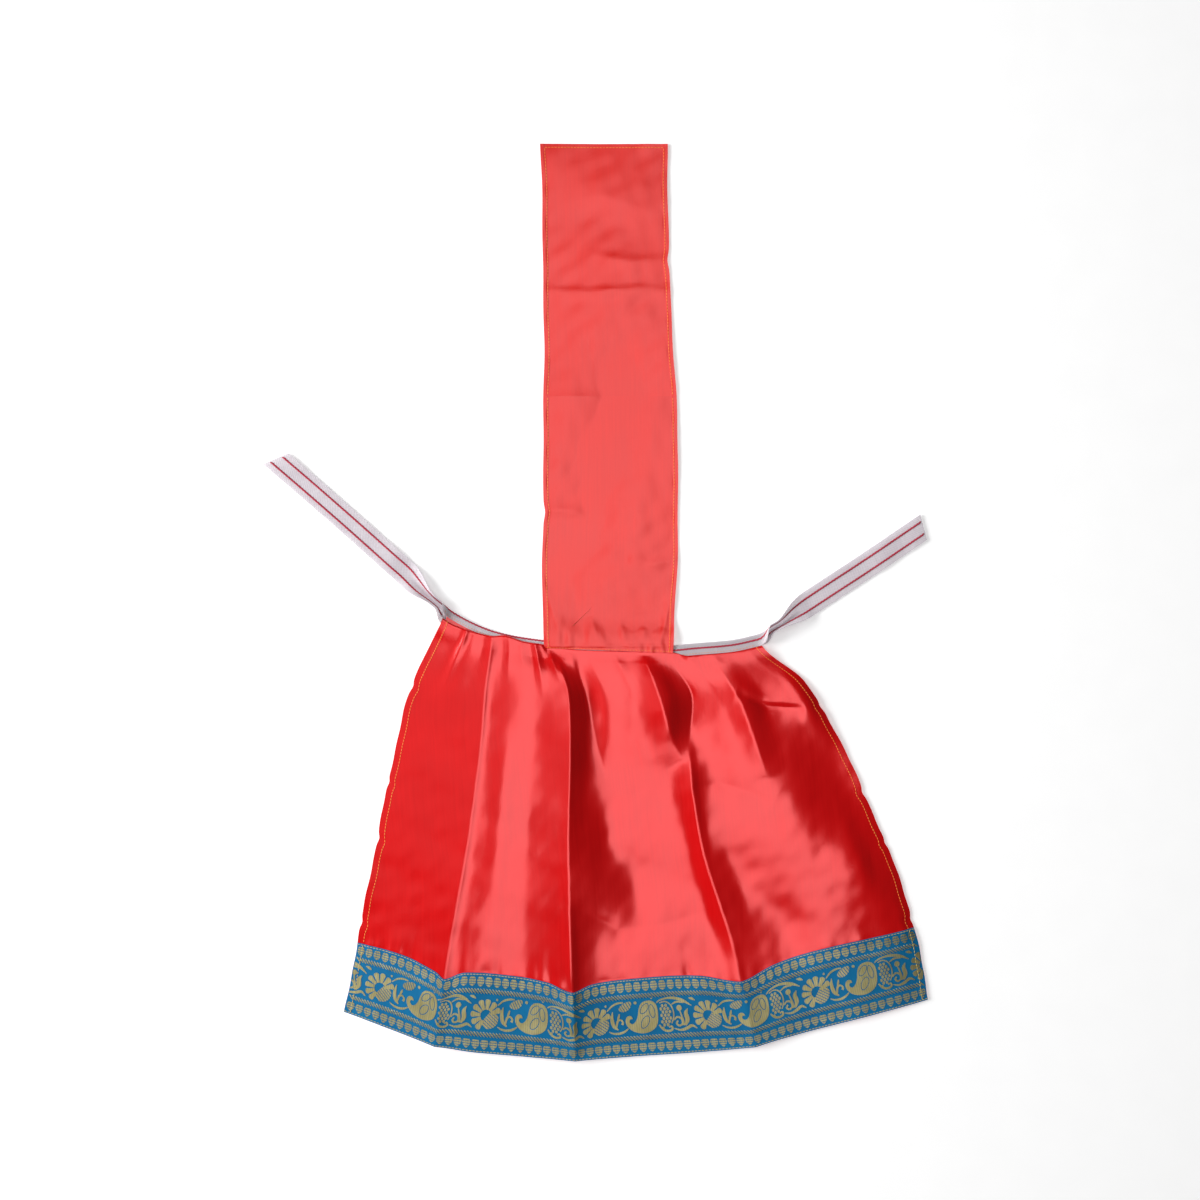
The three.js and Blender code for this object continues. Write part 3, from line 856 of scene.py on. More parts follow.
def ribbon_material():
    material, n, shader = new_material("blue ribbon ground", Specular_IOR_Level=0.22)
    shade, weave = dyed_and_woven(n, flat_place(n), 30.0, 700.0, 0.0009, 0.0005)
    blue = n.mix(n.range(shade, 0.35, 0.65), srgb(0, 106, 158), srgb(0, 121, 173))
    colour = n.mix(n.math("MULTIPLY", weave, 0.25), blue, srgb(0, 72, 120))
    n.put(shader.inputs["Base Color"], colour)
    n.put(shader.inputs["Roughness"], n.range(weave, 0.0, 1.0, 0.5, 0.68))
    bumped(n, shader, weave, 0.5, 0.0002)
    return material


def gold_material():
    material, n, shader = new_material("gold brocade thread", Metallic=0.8)
    shade, weave = dyed_and_woven(n, flat_place(n), 60.0, 900.0, 0.0022, 0.0006)
    gold = n.mix(n.range(shade, 0.35, 0.65), srgb(182, 170, 114), srgb(208, 197, 144))
    # Painted shade: the gold turns darker grey-green in the weave's hollows, where the weave height
    # is low.
    n.put(shader.inputs["Base Color"], n.mix(n.range(weave, 0.3, 0.0), gold, srgb(92, 106, 92)))
    n.put(shader.inputs["Roughness"], n.range(weave, 0.0, 1.0, 0.5, 0.36))
    bumped(n, shader, weave, 0.7, 0.00025)
    return material


def cotton_material():
    material, n, shader = new_material(
        "white cotton tape", Sheen_Weight=0.15, Subsurface_Weight=0.6,
        Subsurface_Radius=(0.004, 0.004, 0.004), Subsurface_Scale=1.0,
    )
    shade, weave = dyed_and_woven(n, flat_place(n), 45.0, 300.0, 0.0011, 0.0011)
    white = n.mix(n.range(shade, 0.35, 0.65), srgb(214, 204, 212), srgb(226, 217, 224))
    # Painted shade: the white turns darker in the weave's hollows, where the weave height is low.
    n.put(shader.inputs["Base Color"], n.mix(n.range(weave, 0.35, 0.0), white, srgb(186, 175, 190)))
    n.put(shader.inputs["Roughness"], n.range(weave, 0.0, 1.0, 0.95, 0.82))
    bumped(n, shader, weave, 0.7, 0.0003)
    return material


def thread_material(name, dark, light, roughness=0.5):
    """Two-ply sewing thread or yarn."""
    material, n, shader = new_material(name, Sheen_Weight=0.1)
    shade, weave = dyed_and_woven(n, object_place(n), 160.0, 900.0, 0.0005, 0.0005)
    n.put(shader.inputs["Base Color"], n.mix(n.range(shade, 0.3, 0.7), dark, light))
    n.put(shader.inputs["Roughness"], n.range(shade, 0.3, 0.7, roughness, roughness + 0.15))
    bumped(n, shader, weave, 0.4, 0.0001)
    return material


def floor_material():
    material, n, shader = new_material("pale table", Roughness=0.7, Emission_Strength=0.3)
    grain = n.noise(object_place(n), 30.0)
    n.put(shader.inputs["Base Color"],
          n.mix(n.range(grain, 0.3, 0.7), (0.95, 0.95, 0.95, 1), (0.97, 0.97, 0.97, 1)))
    shader.inputs["Emission Color"].default_value = (1, 1, 1, 1)
    return material


SATIN_RED = satin_material("red satin", srgb(228, 6, 10), srgb(241, 10, 14), 0.2, 0.2)
SASH_SATIN = satin_material("sash satin", srgb(230, 20, 8), srgb(240, 28, 14), 0.15, 0.33)
RIBBON_BLUE = ribbon_material()
RIBBON_GOLD = gold_material()
COTTON_WHITE = cotton_material()
ORANGE = thread_material("orange sewing thread", srgb(252, 120, 30), srgb(255, 160, 66))
YELLOW = thread_material("yellow sewing thread", srgb(206, 178, 90), srgb(232, 206, 120))
RED_YARN = thread_material("red twisted yarn", srgb(170, 30, 54), srgb(200, 52, 78), 0.7)


def give(piece, material):
    piece.data.materials.clear()
    piece.data.materials.append(material)


# ---- The border -----------------------------------------------------------------------------

# Shares down the skirt where the border's two edges lie, at places across the skirt. Its upper
# edge dips at the creases, and its lower edge hangs a few millimetres past the satin's hem.
BORDER_WIDTH = 75.0
BORDER_AT = [0, 0.5, 0.9, 1, 1.15, 1.5, 1.8, 2, 2.12, 2.4, 2.75, 3, 3.2, 3.5, 4]
BORDER_TOP = [0.831, 0.819, 0.829, 0.838, 0.818, 0.815, 0.822, 0.84, 0.826, 0.819, 0.822,
              0.842, 0.82, 0.805, 0.803]
END_AT = [0, 1, 1.3, 2, 2.8, 3.1, 4]
BORDER_END = 1 + np.array([1.5, 2, 4.5, 4.5, 5, 3, 1.5]) / SKIRT_LENGTH
BORDER_ROWS = 32
BORDER_MARGIN = 50.0  # where the border starts on its own flat map


def border_surface(main):
    """The ribbon's face, lying on the satin, and its flat map: along it, and up from its hem."""
    top = smooth_table(BORDER_AT, BORDER_TOP, SKIRT_U)
    ends = smooth_table(END_AT, BORDER_END, SKIRT_U)
    down = np.linspace(0, 1, BORDER_ROWS)
    points = np.zeros((BORDER_ROWS, len(SKIRT_U), 3))
    for j, start in enumerate(top):
        v = lerp(start, ends[j], down)
        for axis in range(3):
            column = main[:, j, axis]
            end_slope = (column[-1] - column[-4]) / (SKIRT_V[-1] - SKIRT_V[-4])
            points[:, j, axis] = np.interp(v, SKIRT_V, column) + end_slope * np.maximum(v - 1, 0)
    points[..., 2] += RIBBON + SEWN_GAP
    middle = points[BORDER_ROWS // 2]
    along = running_total(np.linalg.norm(np.diff(middle, axis=0), axis=1))
    flat = np.zeros((BORDER_ROWS, len(SKIRT_U), 2))
    flat[..., 0] = along + BORDER_MARGIN
    flat[..., 1] = (BORDER_MARGIN + BORDER_WIDTH * (1 - down))[:, None]
    return points, flat


# ---- The border's woven pattern -------------------------------------------------------------

# One repeat of the pattern, in millimetres: s along the ribbon from the middle of a daisy, t up
# from the lower rope. A stroke is a smooth line of points with its widths along it.
REPEAT = 112.0
FIRST_DAISY = 30.6
BAND_FOOT = 20.0
STROKES = [
    ([(11.3, 26), (16.3, 30.5), (22.5, 32.8), (28, 33)], [0.8, 1.6, 1.8, 1.2]),
    ([(16.7, 24.8), (15.6, 18), (17, 11), (21, 7)], [0.7, 3.2, 3.4, 1.2]),
    ([(19.6, 9), (20.9, 15), (24, 16.6), (26.4, 14), (25.4, 11.6)], [1.2, 2.2, 1.6, 1.8, 2.4]),
    ([(23.4, 22.4), (22.6, 19.6), (21.4, 16.6)], [0.8, 2, 1.2]),
    ([(12.1, 5.8), (16, 3.8), (21.7, 3.2), (27.1, 4.7), (31.3, 7.4)], [0.8, 1.6, 2.2, 2, 1]),
    ([(83.7, 22), (84.8, 17.5), (86, 12), (85.6, 7)], [1, 1.4, 1.8, 2.4]),
    ([(92, 23), (89.6, 18.6), (90.4, 12.4), (87.6, 7)], [0.6, 3.8, 4.2, 2]),
    ([(81, 11.6), (79.2, 9.2), (81.6, 6.8), (85, 8.6), (84.6, 13.4), (80.6, 15.4), (77.2, 12.6)],
     [1.4, 1.8, 1.8, 1.6, 1.8, 1.8, 1]),
    ([(76.4, 4.6), (82.5, 2.6), (88.7, 4), (94.1, 6.4), (98.7, 3.5)], [0.8, 2, 2.8, 2.4, 0.8]),
    ([(61.6, 30.4), (65.6, 32.8), (73.3, 34.2), (81, 33.6), (88.7, 30.8), (96.4, 25.9)],
     [1, 1.4, 2, 2.8, 2.8, 0.7]),
    ([(76.4, 27.6), (81.8, 30), (88.7, 29)], [0.7, 1.8, 0.7]),
    ([(94.5, 33.4), (97.6, 32.8), (100.6, 31)], [0.6, 2.8, 0.6]),
    ([(62, 9), (65, 4.6), (70, 2.4), (74.4, 3.8), (74, 6.8), (71.4, 6)],
     [1.4, 2, 2.2, 2, 1.8, 1.4]),
]
DISCS = [(40.2, 31.8, 1.5), (10.2, 31.2, 1.1), (83.7, 24, 2.8), (57, 35, 0.8)]
MANGO = [
    (36.3, 16.4), (35.2, 19), (32.9, 19.7), (30.2, 18.3), (29, 14.7), (30.2, 10.1), (34, 5.7),
    (39.4, 2.9), (45.6, 1.9), (51.7, 2.9), (57.1, 5.7), (60.4, 10.4), (61.8, 17), (62, 23.6),
    (60.6, 29.4), (57, 32.5), (52.5, 33.1), (47.5, 31.9), (44, 28), (42.5, 22.8), (41, 17.2),
    (38.3, 12.9), (35.2, 11.5), (32.9, 13.7), (33.9, 16.4),
]
MANGO_SEEDS = [(48.8, 25.6, 5.4, 2.6, 50), (56.2, 22.6, 6.2, 2.3, 97), (48.6, 12.6, 6.2, 3.1, 58)]
FLOAT_RISE = 0.28
DAISY_HEIGHT = 15.6
PETALS_AT = (25, 54, 85, 115, 146, 177, 208, 237)


def turned(x, y, degrees):
    """A flat point, turned about (0, 0)."""
    turn = math.radians(degrees)
    return x * math.cos(turn) - y * math.sin(turn), x * math.sin(turn) + y * math.cos(turn)


def sides_of(loop):
    """Each corner of a closed outline, with the next one."""
    return zip(loop, loop[1:] + loop[:1])


def oval(x, y, long, wide, degrees, points=18):
    """A pointed oval: a leaf, petal or seed. long and wide are half sizes."""
    outline = []
    for k in range(points):
        a = 2 * math.pi * k / points
        rounding = abs(math.sin(a)) ** 0.15
        dx, dy = turned(long * math.cos(a), wide * math.sin(a) * rounding, degrees)
        outline.append((x + dx, y + dy))
    return outline


def stroke(points, widths, step=1.6):
    """The outline of a smooth line of changing width."""
    points = np.array(points, float)
    at = np.arange(len(points))
    length = np.hypot(*np.diff(points, axis=0).T).sum()
    t = np.linspace(0, at[-1], max(5, int(length / step)))
    line = smooth_table(at, points.T, t).T
    width = smooth_table(at, widths, t)
    way = np.gradient(line, axis=0)
    side = np.stack([-way[:, 1], way[:, 0]], axis=1) / np.hypot(*way.T)[:, None]
    edge = side * width[:, None] / 2
    return [tuple(p) for p in np.concatenate([line - edge, (line + edge)[::-1]])]


def petal(degrees, near, far, wide):
    """A club-shaped petal of the daisy, widest towards its round end."""
    shape = [(near, 0.25), (lerp(near, far, 0.5), 0.36), (lerp(near, far, 0.8), 0.5),
             (lerp(near, far, 0.95), 0.36), (far, 0.12)]
    half = [(r, w * wide) for r, w in shape]
    ring = [(r, -w) for r, w in half] + [(r, w) for r, w in reversed(half)]
    corners = [turned(r, w, degrees) for r, w in ring]
    return [(x, DAISY_HEIGHT + y) for x, y in corners]


def bars(half_width, low, high, pitch, gap, place):
    """Parallel floats that fill a shape: its half width at a height gives each bar's length."""
    made = []
    for t in np.arange(low, high, pitch):
        bottom, top = t, min(t + pitch - gap, high)
        ends = [(-half_width(bottom), bottom), (half_width(bottom), bottom),
                (half_width(top), top), (-half_width(top), top)]
        made.append([place(*end) for end in ends])
    return made


def calyx():
    """The hatched fan on the daisy's lower right."""
    def half(t):
        return math.sqrt(max(0.2, 12.4**2 - t * t)) * 0.5

    def place(x, y):
        dx, dy = turned(x + half(y) + 0.6, y * 0.9, -38)
        return dx, 15.2 + dy

    return bars(half, -9.5, 9.5, 2.7, 0.8, place)


def hatched_leaf():
    """The leaf of slanted floats on the scroll."""
    def half(t):
        return 3.9 * math.sqrt(max(0.04, 1 - (t / 7.2) ** 2))

    def place(x, y):
        dx, dy = turned(x, y, -62)
        return 29.6 + dx, 28.2 + dy + 0.02 * y * y

    return bars(half, -7, 7, 2.5, 0.8, place)


def scale_fan():
    """The fan of fish scales behind the mango."""
    made = []
    for row in range(8):
        t = 5.4 + row * 3.1
        right = 64.6 + 11.4 * math.sqrt(max(0.0, 1 - ((t - 17.6) / 13.4) ** 2))
        for s in np.arange(64.8 + 1.7 * (row % 2), right - 1.2, 3.5):
            made.append(oval(s + 0.6, t, 1.65, 1.35, 90, 8))
    made.append(stroke([(64.6, 30), (70, 31), (75, 28), (77.4, 22), (77, 15), (74.4, 9.6)],
                       [0.9, 1.2, 1.2, 1.2, 1.2, 1]))
    return made


def pattern_shapes():
    """The outlines of one repeat, each a list of closed loops: an outline and then its holes."""
    shapes = [[stroke(*item)] for item in STROKES]
    shapes += [[oval(s, t, r, r, 0, 12)] for s, t, r in DISCS]
    seeds = [(s, t, long + 0.9, wide + 0.8, turn) for s, t, long, wide, turn in MANGO_SEEDS]
    shapes.append([stroke_loop(MANGO)] + [oval(*seed) for seed in seeds])
    shapes += [[oval(*seed)] for seed in MANGO_SEEDS]
    shapes += [[petal(a, 5.6, 15.4, 5.6)] for a in PETALS_AT]
    shapes += [[bar] for bar in calyx() + hatched_leaf() + scale_fan()]
    return shapes


def stroke_loop(points):
    """A closed smooth curve through points."""
    ring = np.array(points + points[:3], float)
    t = np.linspace(1, len(points) + 1, 2 * len(points) + 1)[:-1]
    curve = smooth_table(np.arange(len(ring)), ring.T, t)
    return [tuple(p) for p in curve.T]


SHORTEST_SIDE = 0.02
NARROWEST_SHAPE = 0.1


def clipped(loop, low, high):
    """The part of a flat outline between two values of x, or [] where only a sliver is left."""
    for limit, sign in ((low, 1), (high, -1)):
        kept = []
        for a, b in sides_of(loop):
            inside_a, inside_b = sign * (a[0] - limit) >= 0, sign * (b[0] - limit) >= 0
            if inside_a:
                kept.append(a)
            if inside_a != inside_b:
                t = (limit - a[0]) / (b[0] - a[0])
                kept.append((limit, a[1] + t * (b[1] - a[1])))
        loop = [a for a, b in sides_of(kept) if math.dist(a, b) > SHORTEST_SIDE]
    wide = np.ptp([a[0] for a in loop]) if loop else 0
    return loop if wide > NARROWEST_SHAPE else []


def add_prism(form, loops, rise):
    """Adds a closed slab to a bmesh: the flat area inside loops[0] and outside the others."""
    flat = [[Vector((x * MM, y * MM, 0)) for x, y in loop] for loop in loops]
    corners = [p for loop in flat for p in loop]
    low = [form.verts.new((p.x, p.y, -0.1 * MM)) for p in corners]
    high = [form.verts.new((p.x, p.y, rise * MM)) for p in corners]
    for tri in tessellate_polygon(flat):
        a, b, c = (corners[k] for k in tri)
        if (b - a).cross(c - a).z < 0:
            tri = tri[::-1]
        form.faces.new([high[k] for k in tri])
        form.faces.new([low[k] for k in reversed(tri)])
    first = 0
    for number, loop in enumerate(flat):
        n = len(loop)
        area = sum(a.x * b.y - b.x * a.y for a, b in sides_of(loop))
        forward = (area > 0) == (number == 0)
        for i in range(n):
            j = (i + 1) % n
            ring = [low[first + i], low[first + j], high[first + j], high[first + i]]
            form.faces.new(ring if forward else ring[::-1])
        first += n


def slice_at(form, cuts):
    """Cuts a flat pattern at these values of x, so that it can bend there."""
    def crosses(face, x):
        across = [v.co.x for v in face.verts]
        return min(across) < x < max(across)

    for x in cuts:
        near = [face for face in form.faces if crosses(face, x)]
        if near:
            geometry = set(near)
            for face in near:
                geometry.update(face.edges)
                geometry.update(face.verts)
            bmesh.ops.bisect_plane(
                form, geom=list(geometry), dist=1e-7, plane_co=(x, 0, 0), plane_no=(1, 0, 0),
            )


def border_pattern(name, cloth, cuts):
    """The gold figures of the main band, along the whole ribbon."""
    form = bmesh.new()
    start, end = BORDER_MARGIN + 0.8, BORDER_MARGIN + BORDER_LENGTH - 0.8
    shapes = pattern_shapes()
    for repeat in range(-1, int(BORDER_LENGTH / REPEAT) + 1):
        s0 = BORDER_MARGIN + FIRST_DAISY + repeat * REPEAT
        for loops in shapes:
            placed = [[(s0 + s, BORDER_MARGIN + BAND_FOOT + t) for s, t in loop] for loop in loops]
            outline = clipped(placed[0], start, end)
            holes = [h for h in placed[1:] if clipped(h, start + 0.3, end - 0.3) == h]
            if len(outline) > 2:
                add_prism(form, [outline] + holes, FLOAT_RISE)
    slice_at(form, cuts)
    piece = from_bmesh(name, form)
    apply_tree(piece, PATTERN, Cloth=cloth, Lift=0.0, Material=RIBBON_GOLD)
    return piece


def seed_unit(name, width, height, pointed):
    """A hatched seed of the edge rows: short floats with gaps between, in millimetres."""
    form = bmesh.new()

    def half(t):
        share = t / (height / 2)
        round_part = math.sqrt(max(0.03, 1 - share * share))
        return width / 2 * round_part * (1 + pointed * 0.3 * share)

    for bar in bars(half, -height / 2, height / 2 - 0.3, height / 4, 0.75, lambda x, y: (x, y)):
        add_prism(form, [bar], FLOAT_RISE)
    slice_at(form, [x * MM for x in (-2, 0, 2)])
    return from_bmesh(name, form)


# ---- The tape: binding and ties -------------------------------------------------------------

LEFT_TIE_LINE = [
    (-322, 187.5), (-285, 155.5), (-247.4, 122.6), (-208, 87.5), (-181, 63.5), (-167, 50),
    (-158, 42.5),
]
RIGHT_TIE_LINE = [
    (158, 11.4), (167, 14.6), (181, 22), (198, 34.2), (232, 56.8), (266, 79), (325.2, 119),
]
END_SLANT = (0.49, 0.35)
YARN_AT = 5.8
TAPE_ACROSS = np.linspace(-HALF_TAPE, HALF_TAPE, 46)
LEAF_TURN = 2.6
NECK_LEAN = 75.0
LEFT_FOLDED_ON = -4.0  # how much further out each tie stays folded
RIGHT_FOLDED_ON = 12.0
TAPE_MARGIN = 10.0  # where the tape starts on its own flat map
BACK_LEAF_SHOWS = 4.4  # how far the fold runs off the tape's middle, at the waist's right
WAIST_LIFT, TIE_LIFT = 0.42, 0.95  # how high the tape's lowest point lies

# From and to, in millimetres beyond the waist's ends: the folded tape rolls on edge, opens, lies
# down on the table, and takes on the slant of its cut end.
ROLLING, OPENING, LYING, SLANTING = (-12, 5), (10, 56), (30, 70), (120, 190)


def tape_line():
    """The tape's fold line as (x, y) stations about 2.5 mm apart, and where the waist starts and
    ends along it."""
    x = np.linspace(TOPS[0, 0] + 4, TOPS[0, -1] - 4, 32)
    y = waist_y(x)
    slope = np.gradient(y, x)
    size = np.sqrt(1 + slope**2)
    waist = np.stack([x - slope / size * FOLD_ABOVE_EDGE, y + FOLD_ABOVE_EDGE / size], axis=1)
    knots = np.concatenate([LEFT_TIE_LINE, waist, RIGHT_TIE_LINE])
    run = running_total(np.hypot(*np.diff(knots, axis=0).T))
    marks = run[len(LEFT_TIE_LINE) - 1], run[-len(RIGHT_TIE_LINE)]
    stations = np.linspace(0, run[-1], int(run[-1] / 2.5))
    line = smooth_table(run, knots.T, stations)
    return stations, line, marks


def leaf_angles(out):
    """The tape's angles, in degrees, at its fold and on its front and back leaf, out millimetres
    beyond the end of the waist: folded flat, then on edge, then opened flat."""
    roll = smoothstep(out, *ROLLING)
    opened = smoothstep(out, *OPENING)
    fold = lerp(90, 0, roll)
    front = lerp(lerp(180, NECK_LEAN, roll), 0, opened)
    back = lerp(lerp(-180, -180 - NECK_LEAN, roll), -180, opened)
    return fold, front, back


def tape_section(fold, front, back, off_centre):
    """The tape's middle surface across its width: how far from the fold line and how high. The
    fold runs off_centre from the tape's middle, towards the front leaf."""
    fine = np.linspace(0, HALF_TAPE + 6, 121)
    share = smoothstep(fine, 0, LEAF_TURN)
    sides = []
    for start, leaf in ((fold - 180, back), (fold, front)):
        angle = np.radians(lerp(start, leaf, share))
        ways = np.cos(angle), np.sin(angle)
        sides.append([running_total((way[1:] + way[:-1]) / 2 * fine[1]) for way in ways])
    w = np.abs(TAPE_ACROSS - off_centre)
    before = TAPE_ACROSS < off_centre
    return [np.where(before, np.interp(w, fine, behind), np.interp(w, fine, ahead))
            for behind, ahead in zip(*sides)]


def tape_surface():
    """The whole tape's middle surface, rows across it and columns along it, and its flat map."""
    stations, line, (waist_start, waist_end) = tape_line()
    way = np.gradient(line, axis=1)
    way /= np.hypot(*way)
    normal = np.stack([-way[1], way[0]])
    waist_middle = (waist_start + waist_end) / 2
    points = np.zeros((len(TAPE_ACROSS), len(stations), 3))
    for i, s in enumerate(stations):
        out = max(waist_start - s, s - waist_end)
        off_centre = BACK_LEAF_SHOWS * smoothstep(-s, -waist_middle - 30, -waist_middle + 30)
        off_centre *= 1 - smoothstep(out, 6, 50)
        folded_on = LEFT_FOLDED_ON if s < waist_middle else RIGHT_FOLDED_ON
        n, z = tape_section(*leaf_angles(out - folded_on), off_centre)
        slant = END_SLANT[0] if s < waist_start else END_SLANT[1]
        shift = TAPE_ACROSS * slant * smoothstep(out, *SLANTING)
        points[:, i, 0] = line[0, i] + normal[0, i] * n + way[0, i] * shift
        points[:, i, 1] = line[1, i] + normal[1, i] * n + way[1, i] * shift
        wave = 0.5 * math.sin(s * 0.045 + 1) + 0.3 * math.sin(s * 0.13)
        lying = smoothstep(out, *LYING)
        lift = lerp(WAIST_LIFT, TIE_LIFT, lying) - min(z) + max(0.0, wave) * lying * 1.6
        points[:, i, 2] = z + lift
    flat = np.zeros(points.shape[:2] + (2,))
    flat[..., 0] = stations + TAPE_MARGIN
    flat[..., 1] = (HALF_TAPE + TAPE_MARGIN - TAPE_ACROSS)[:, None]
    return points, flat, stations, (waist_start, waist_end)


# ---- The sash -------------------------------------------------------------------------------

SASH_Y = [-7, 0, 45, 120, 245, 355, 502]
SASH_LEFT = [-53, -54, -55.6, -55.2, -54.4, -54.6, -57.4]
SASH_RIGHT = [74.6, 75.2, 77, 80, 78.2, 72, 69]
SASH_SPLIT = 250.0
SASH_HEM = 4.6
SASH_FOLDS = [
    dict(path=[(-60, 356), (-10, 353), (40, 357), (80, 354)], height=1.3, left=9, right=12),
    dict(path=[(-10, 392), (30, 384), (80, 388)], height=0.9, left=10, right=14),
    dict(path=[(-60, 250), (0, 249), (40, 252)], height=0.5, left=8, right=9),
    dict(path=[(-60, 134), (-38, 136), (-6, 130)], height=1.4, left=12, right=9),
    dict(path=[(82, 86), (52, 82), (30, 86)], height=1.1, left=10, right=12),
    dict(path=[(-54, 66), (-47, 40), (-41, 20), (-34, -3)], height=1.6, left=24, right=15,
         sharp=1.1),
    dict(path=[(-8, 30), (-2, 14), (0, -4)], height=1.0, left=10, right=14),
    dict(path=[(24, 20), (50, 25), (74, 16)], height=-0.9, left=12, right=9),
    dict(path=[(60, -4), (66, 20), (72, 46)], height=0.7, left=9, right=8),
    dict(path=[(26, 330), (12, 230), (-2, 150), (-6, 70)], height=-2.0, left=44, right=40,
         sharp=1.2),
    dict(path=[(-52, 440), (0, 452), (66, 430)], height=0.9, left=30, right=24, sharp=1.2),
]


def sash_foot(x):
    """The lower edge of the sash's seam lap, which follows the binding down to the right."""
    return np.interp(x, [-54, -30, 30, 76], [-1.6, -2.6, -5.0, -7.2])


def sash_height(x, y, left, right):
    """The height of the sash's face over a grid."""
    over_binding = waist_y(x) + FOLD_ABOVE_EDGE + 1.5
    off = smoothstep(y, over_binding, over_binding + 30)
    height = lerp(5.0, SATIN + 0.35, off)
    height += 0.5 * np.exp(-((y - 0.4) / 1.3) ** 2)
    soft = smoothstep(y, 20, 60)
    height += soft * (0.55 + 0.5 * ripples(x, y, 90, 21) + 0.12 * ripples(x, y, 26, 22))
    for fold in SASH_FOLDS:
        height += fold_height(x, y, **fold)
    height += (1 - off) * 0.35 * ripples(x, y * 0.3, 11, 23)
    near_edge = np.minimum(x - left, right - x)
    height += 0.3 * smoothstep(-near_edge, -SASH_HEM - 0.5, -SASH_HEM + 0.8)
    height -= 0.22 * np.exp(-((near_edge - SASH_HEM + 0.4) / 0.8) ** 2) * (1 + np.sin(y * 1.9))
    floor = lerp(4.85, SATIN + 0.1, off)
    return np.maximum(height, floor)


def sash_surface(y):
    """The sash's face over rows at these y, given from the top down."""
    share = np.concatenate([np.linspace(0, 0.1, 14), np.linspace(0.12, 0.88, 70),
                            np.linspace(0.9, 1, 14)])
    wave = 0.7 * np.sin(y / 17.0) * np.sin(y / 61.0)
    left = smooth_table(SASH_Y, SASH_LEFT, y) + wave + 1.6 * np.exp(-((y - 134) / 7) ** 2)
    right = smooth_table(SASH_Y, SASH_RIGHT, y) - wave - 1.8 * np.exp(-((y - 386) / 8) ** 2)
    x = lerp(left[:, None], right[:, None], share[None, :])
    rows = np.repeat(y[:, None], len(share), axis=1)
    if y.min() < 0:
        rows = np.where(rows < 0, rows / y.min() * sash_foot(x), rows)
    z = sash_height(x, rows, left[:, None], right[:, None])
    return np.stack([x, rows, z], axis=-1)


def sash_rows(low, high, fine_below=None):
    """Row heights from the top down, about 3 mm apart and closer where the sash is sewn on."""
    y = list(np.arange(high, low, -3.0))
    if fine_below is not None:
        y = [v for v in y if v > fine_below]
        y += list(np.arange(y[-1] - 1.2, low, -1.2))
    return np.array(y + [low])


# ---- Pieces ---------------------------------------------------------------------------------

STITCH = smooth_unit("stitch unit", 2.7, 0.75, 0.5)
SMALL_STITCH = smooth_unit("small stitch unit", 1.9, 0.5, 0.4)
YARN = smooth_unit("yarn unit", 4.6, 1.9, 0.85)
ROPE = smooth_unit("rope unit", 7.2, 1.5, 0.6)
OVAL_SEED = seed_unit("oval seed unit", 7.4, 9.6, 0.0)
ACORN_SEED = seed_unit("acorn seed unit", 7.4, 9.2, 1.0)

# How far apart the units lie along their rows.
STITCH_PITCH, SASH_PITCH, SMALL_PITCH = 3.3, 3.2, 3.0
YARN_PITCH, ROPE_PITCH, SEED_PITCH = 3.4, 3.1, 8.6

# The border's rows, in millimetres below its upper edge.
UPPER_STITCHES, OVALS, UPPER_ROPE = 1.4, 7.6, 17
LOWER_ROPE, ACORNS, LOWER_STITCHES = 57.5, 66.6, 73.6
BORDER_EDGE = 3  # how far the side stitches stay from the border's two long edges
ROPE_TURN, YARN_TURN = math.radians(-44), math.radians(14)

# The part of the waist that the sash covers: half its length, and how far it lies to the right.
HALF_COVERED, COVERED_SHIFT = 60, 8
WAIST_SEAM = 1.6  # how far the waist's seam lies in from the tape's edge

# The skirt's side stitches run over these rows of its grid, counted from its first main row.
HEM_STITCHES_START, HEM_STITCHES_END = -3, 128


def dress(piece, material, slot, body, *nodes):
    """Gives a finished piece its material and its body, and hides the CAD nodes that it stands for.
    """
    give(piece, material)
    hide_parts(*nodes)
    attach(piece, body)


def bend(piece, material, slot, bodies, start, end, *nodes):
    """As dress(), but it gives the piece no body: it bakes the piece's place into its mesh instead.
    bodies, start and end, in plan mm, are not used.
    """
    give(piece, material)
    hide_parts(*nodes)
    low, high = to_frame([(start[0], start[1], 0), (end[0], end[1], 0)])
    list(bodies)
    tuple(low)
    tuple(high)
    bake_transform(piece)


def make_skirt():
    """The satin panel: returns it, the main rows of its grid and the stitches of its side hems."""
    points = skirt_surface()
    flat = flat_lengths(points)
    skirt = make_sheet("skirt_cloth", points, flat)
    top_rows = len(points) - len(SKIRT_V)
    stitched = slice(top_rows + HEM_STITCHES_START, top_rows + HEM_STITCHES_END)
    hems = []
    for side, column, inset in (("left", 0, SIDE_HEM), ("right", -1, -SIDE_HEM)):
        path = flat[stitched, column] + (inset, 0)
        row = sewn_row(f"skirt_{side}_stitches", skirt, [path], STITCH, STITCH_PITCH, ORANGE)
        dress(row, ORANGE, "orange_thread", "skirt", f"skirt_{side}_stitching")
        hems.append(row)
    return skirt, points[top_rows:], hems


def make_border(main):
    """The ribbon: returns it, its flat map and its length."""
    points, flat = border_surface(main)
    length = flat[0, -1, 0] - BORDER_MARGIN
    border = make_sheet("border_ribbon", points, flat)
    return border, flat, length


skirt, skirt_main, hem_rows = make_skirt()
border, border_flat, BORDER_LENGTH = make_border(skirt_main)


def border_row(down, inset=1.5):
    """A flat path along the border, down millimetres below its upper edge."""
    v = BORDER_MARGIN + BORDER_WIDTH - down
    return [(BORDER_MARGIN + inset, v), (BORDER_MARGIN + BORDER_LENGTH - inset, v)]


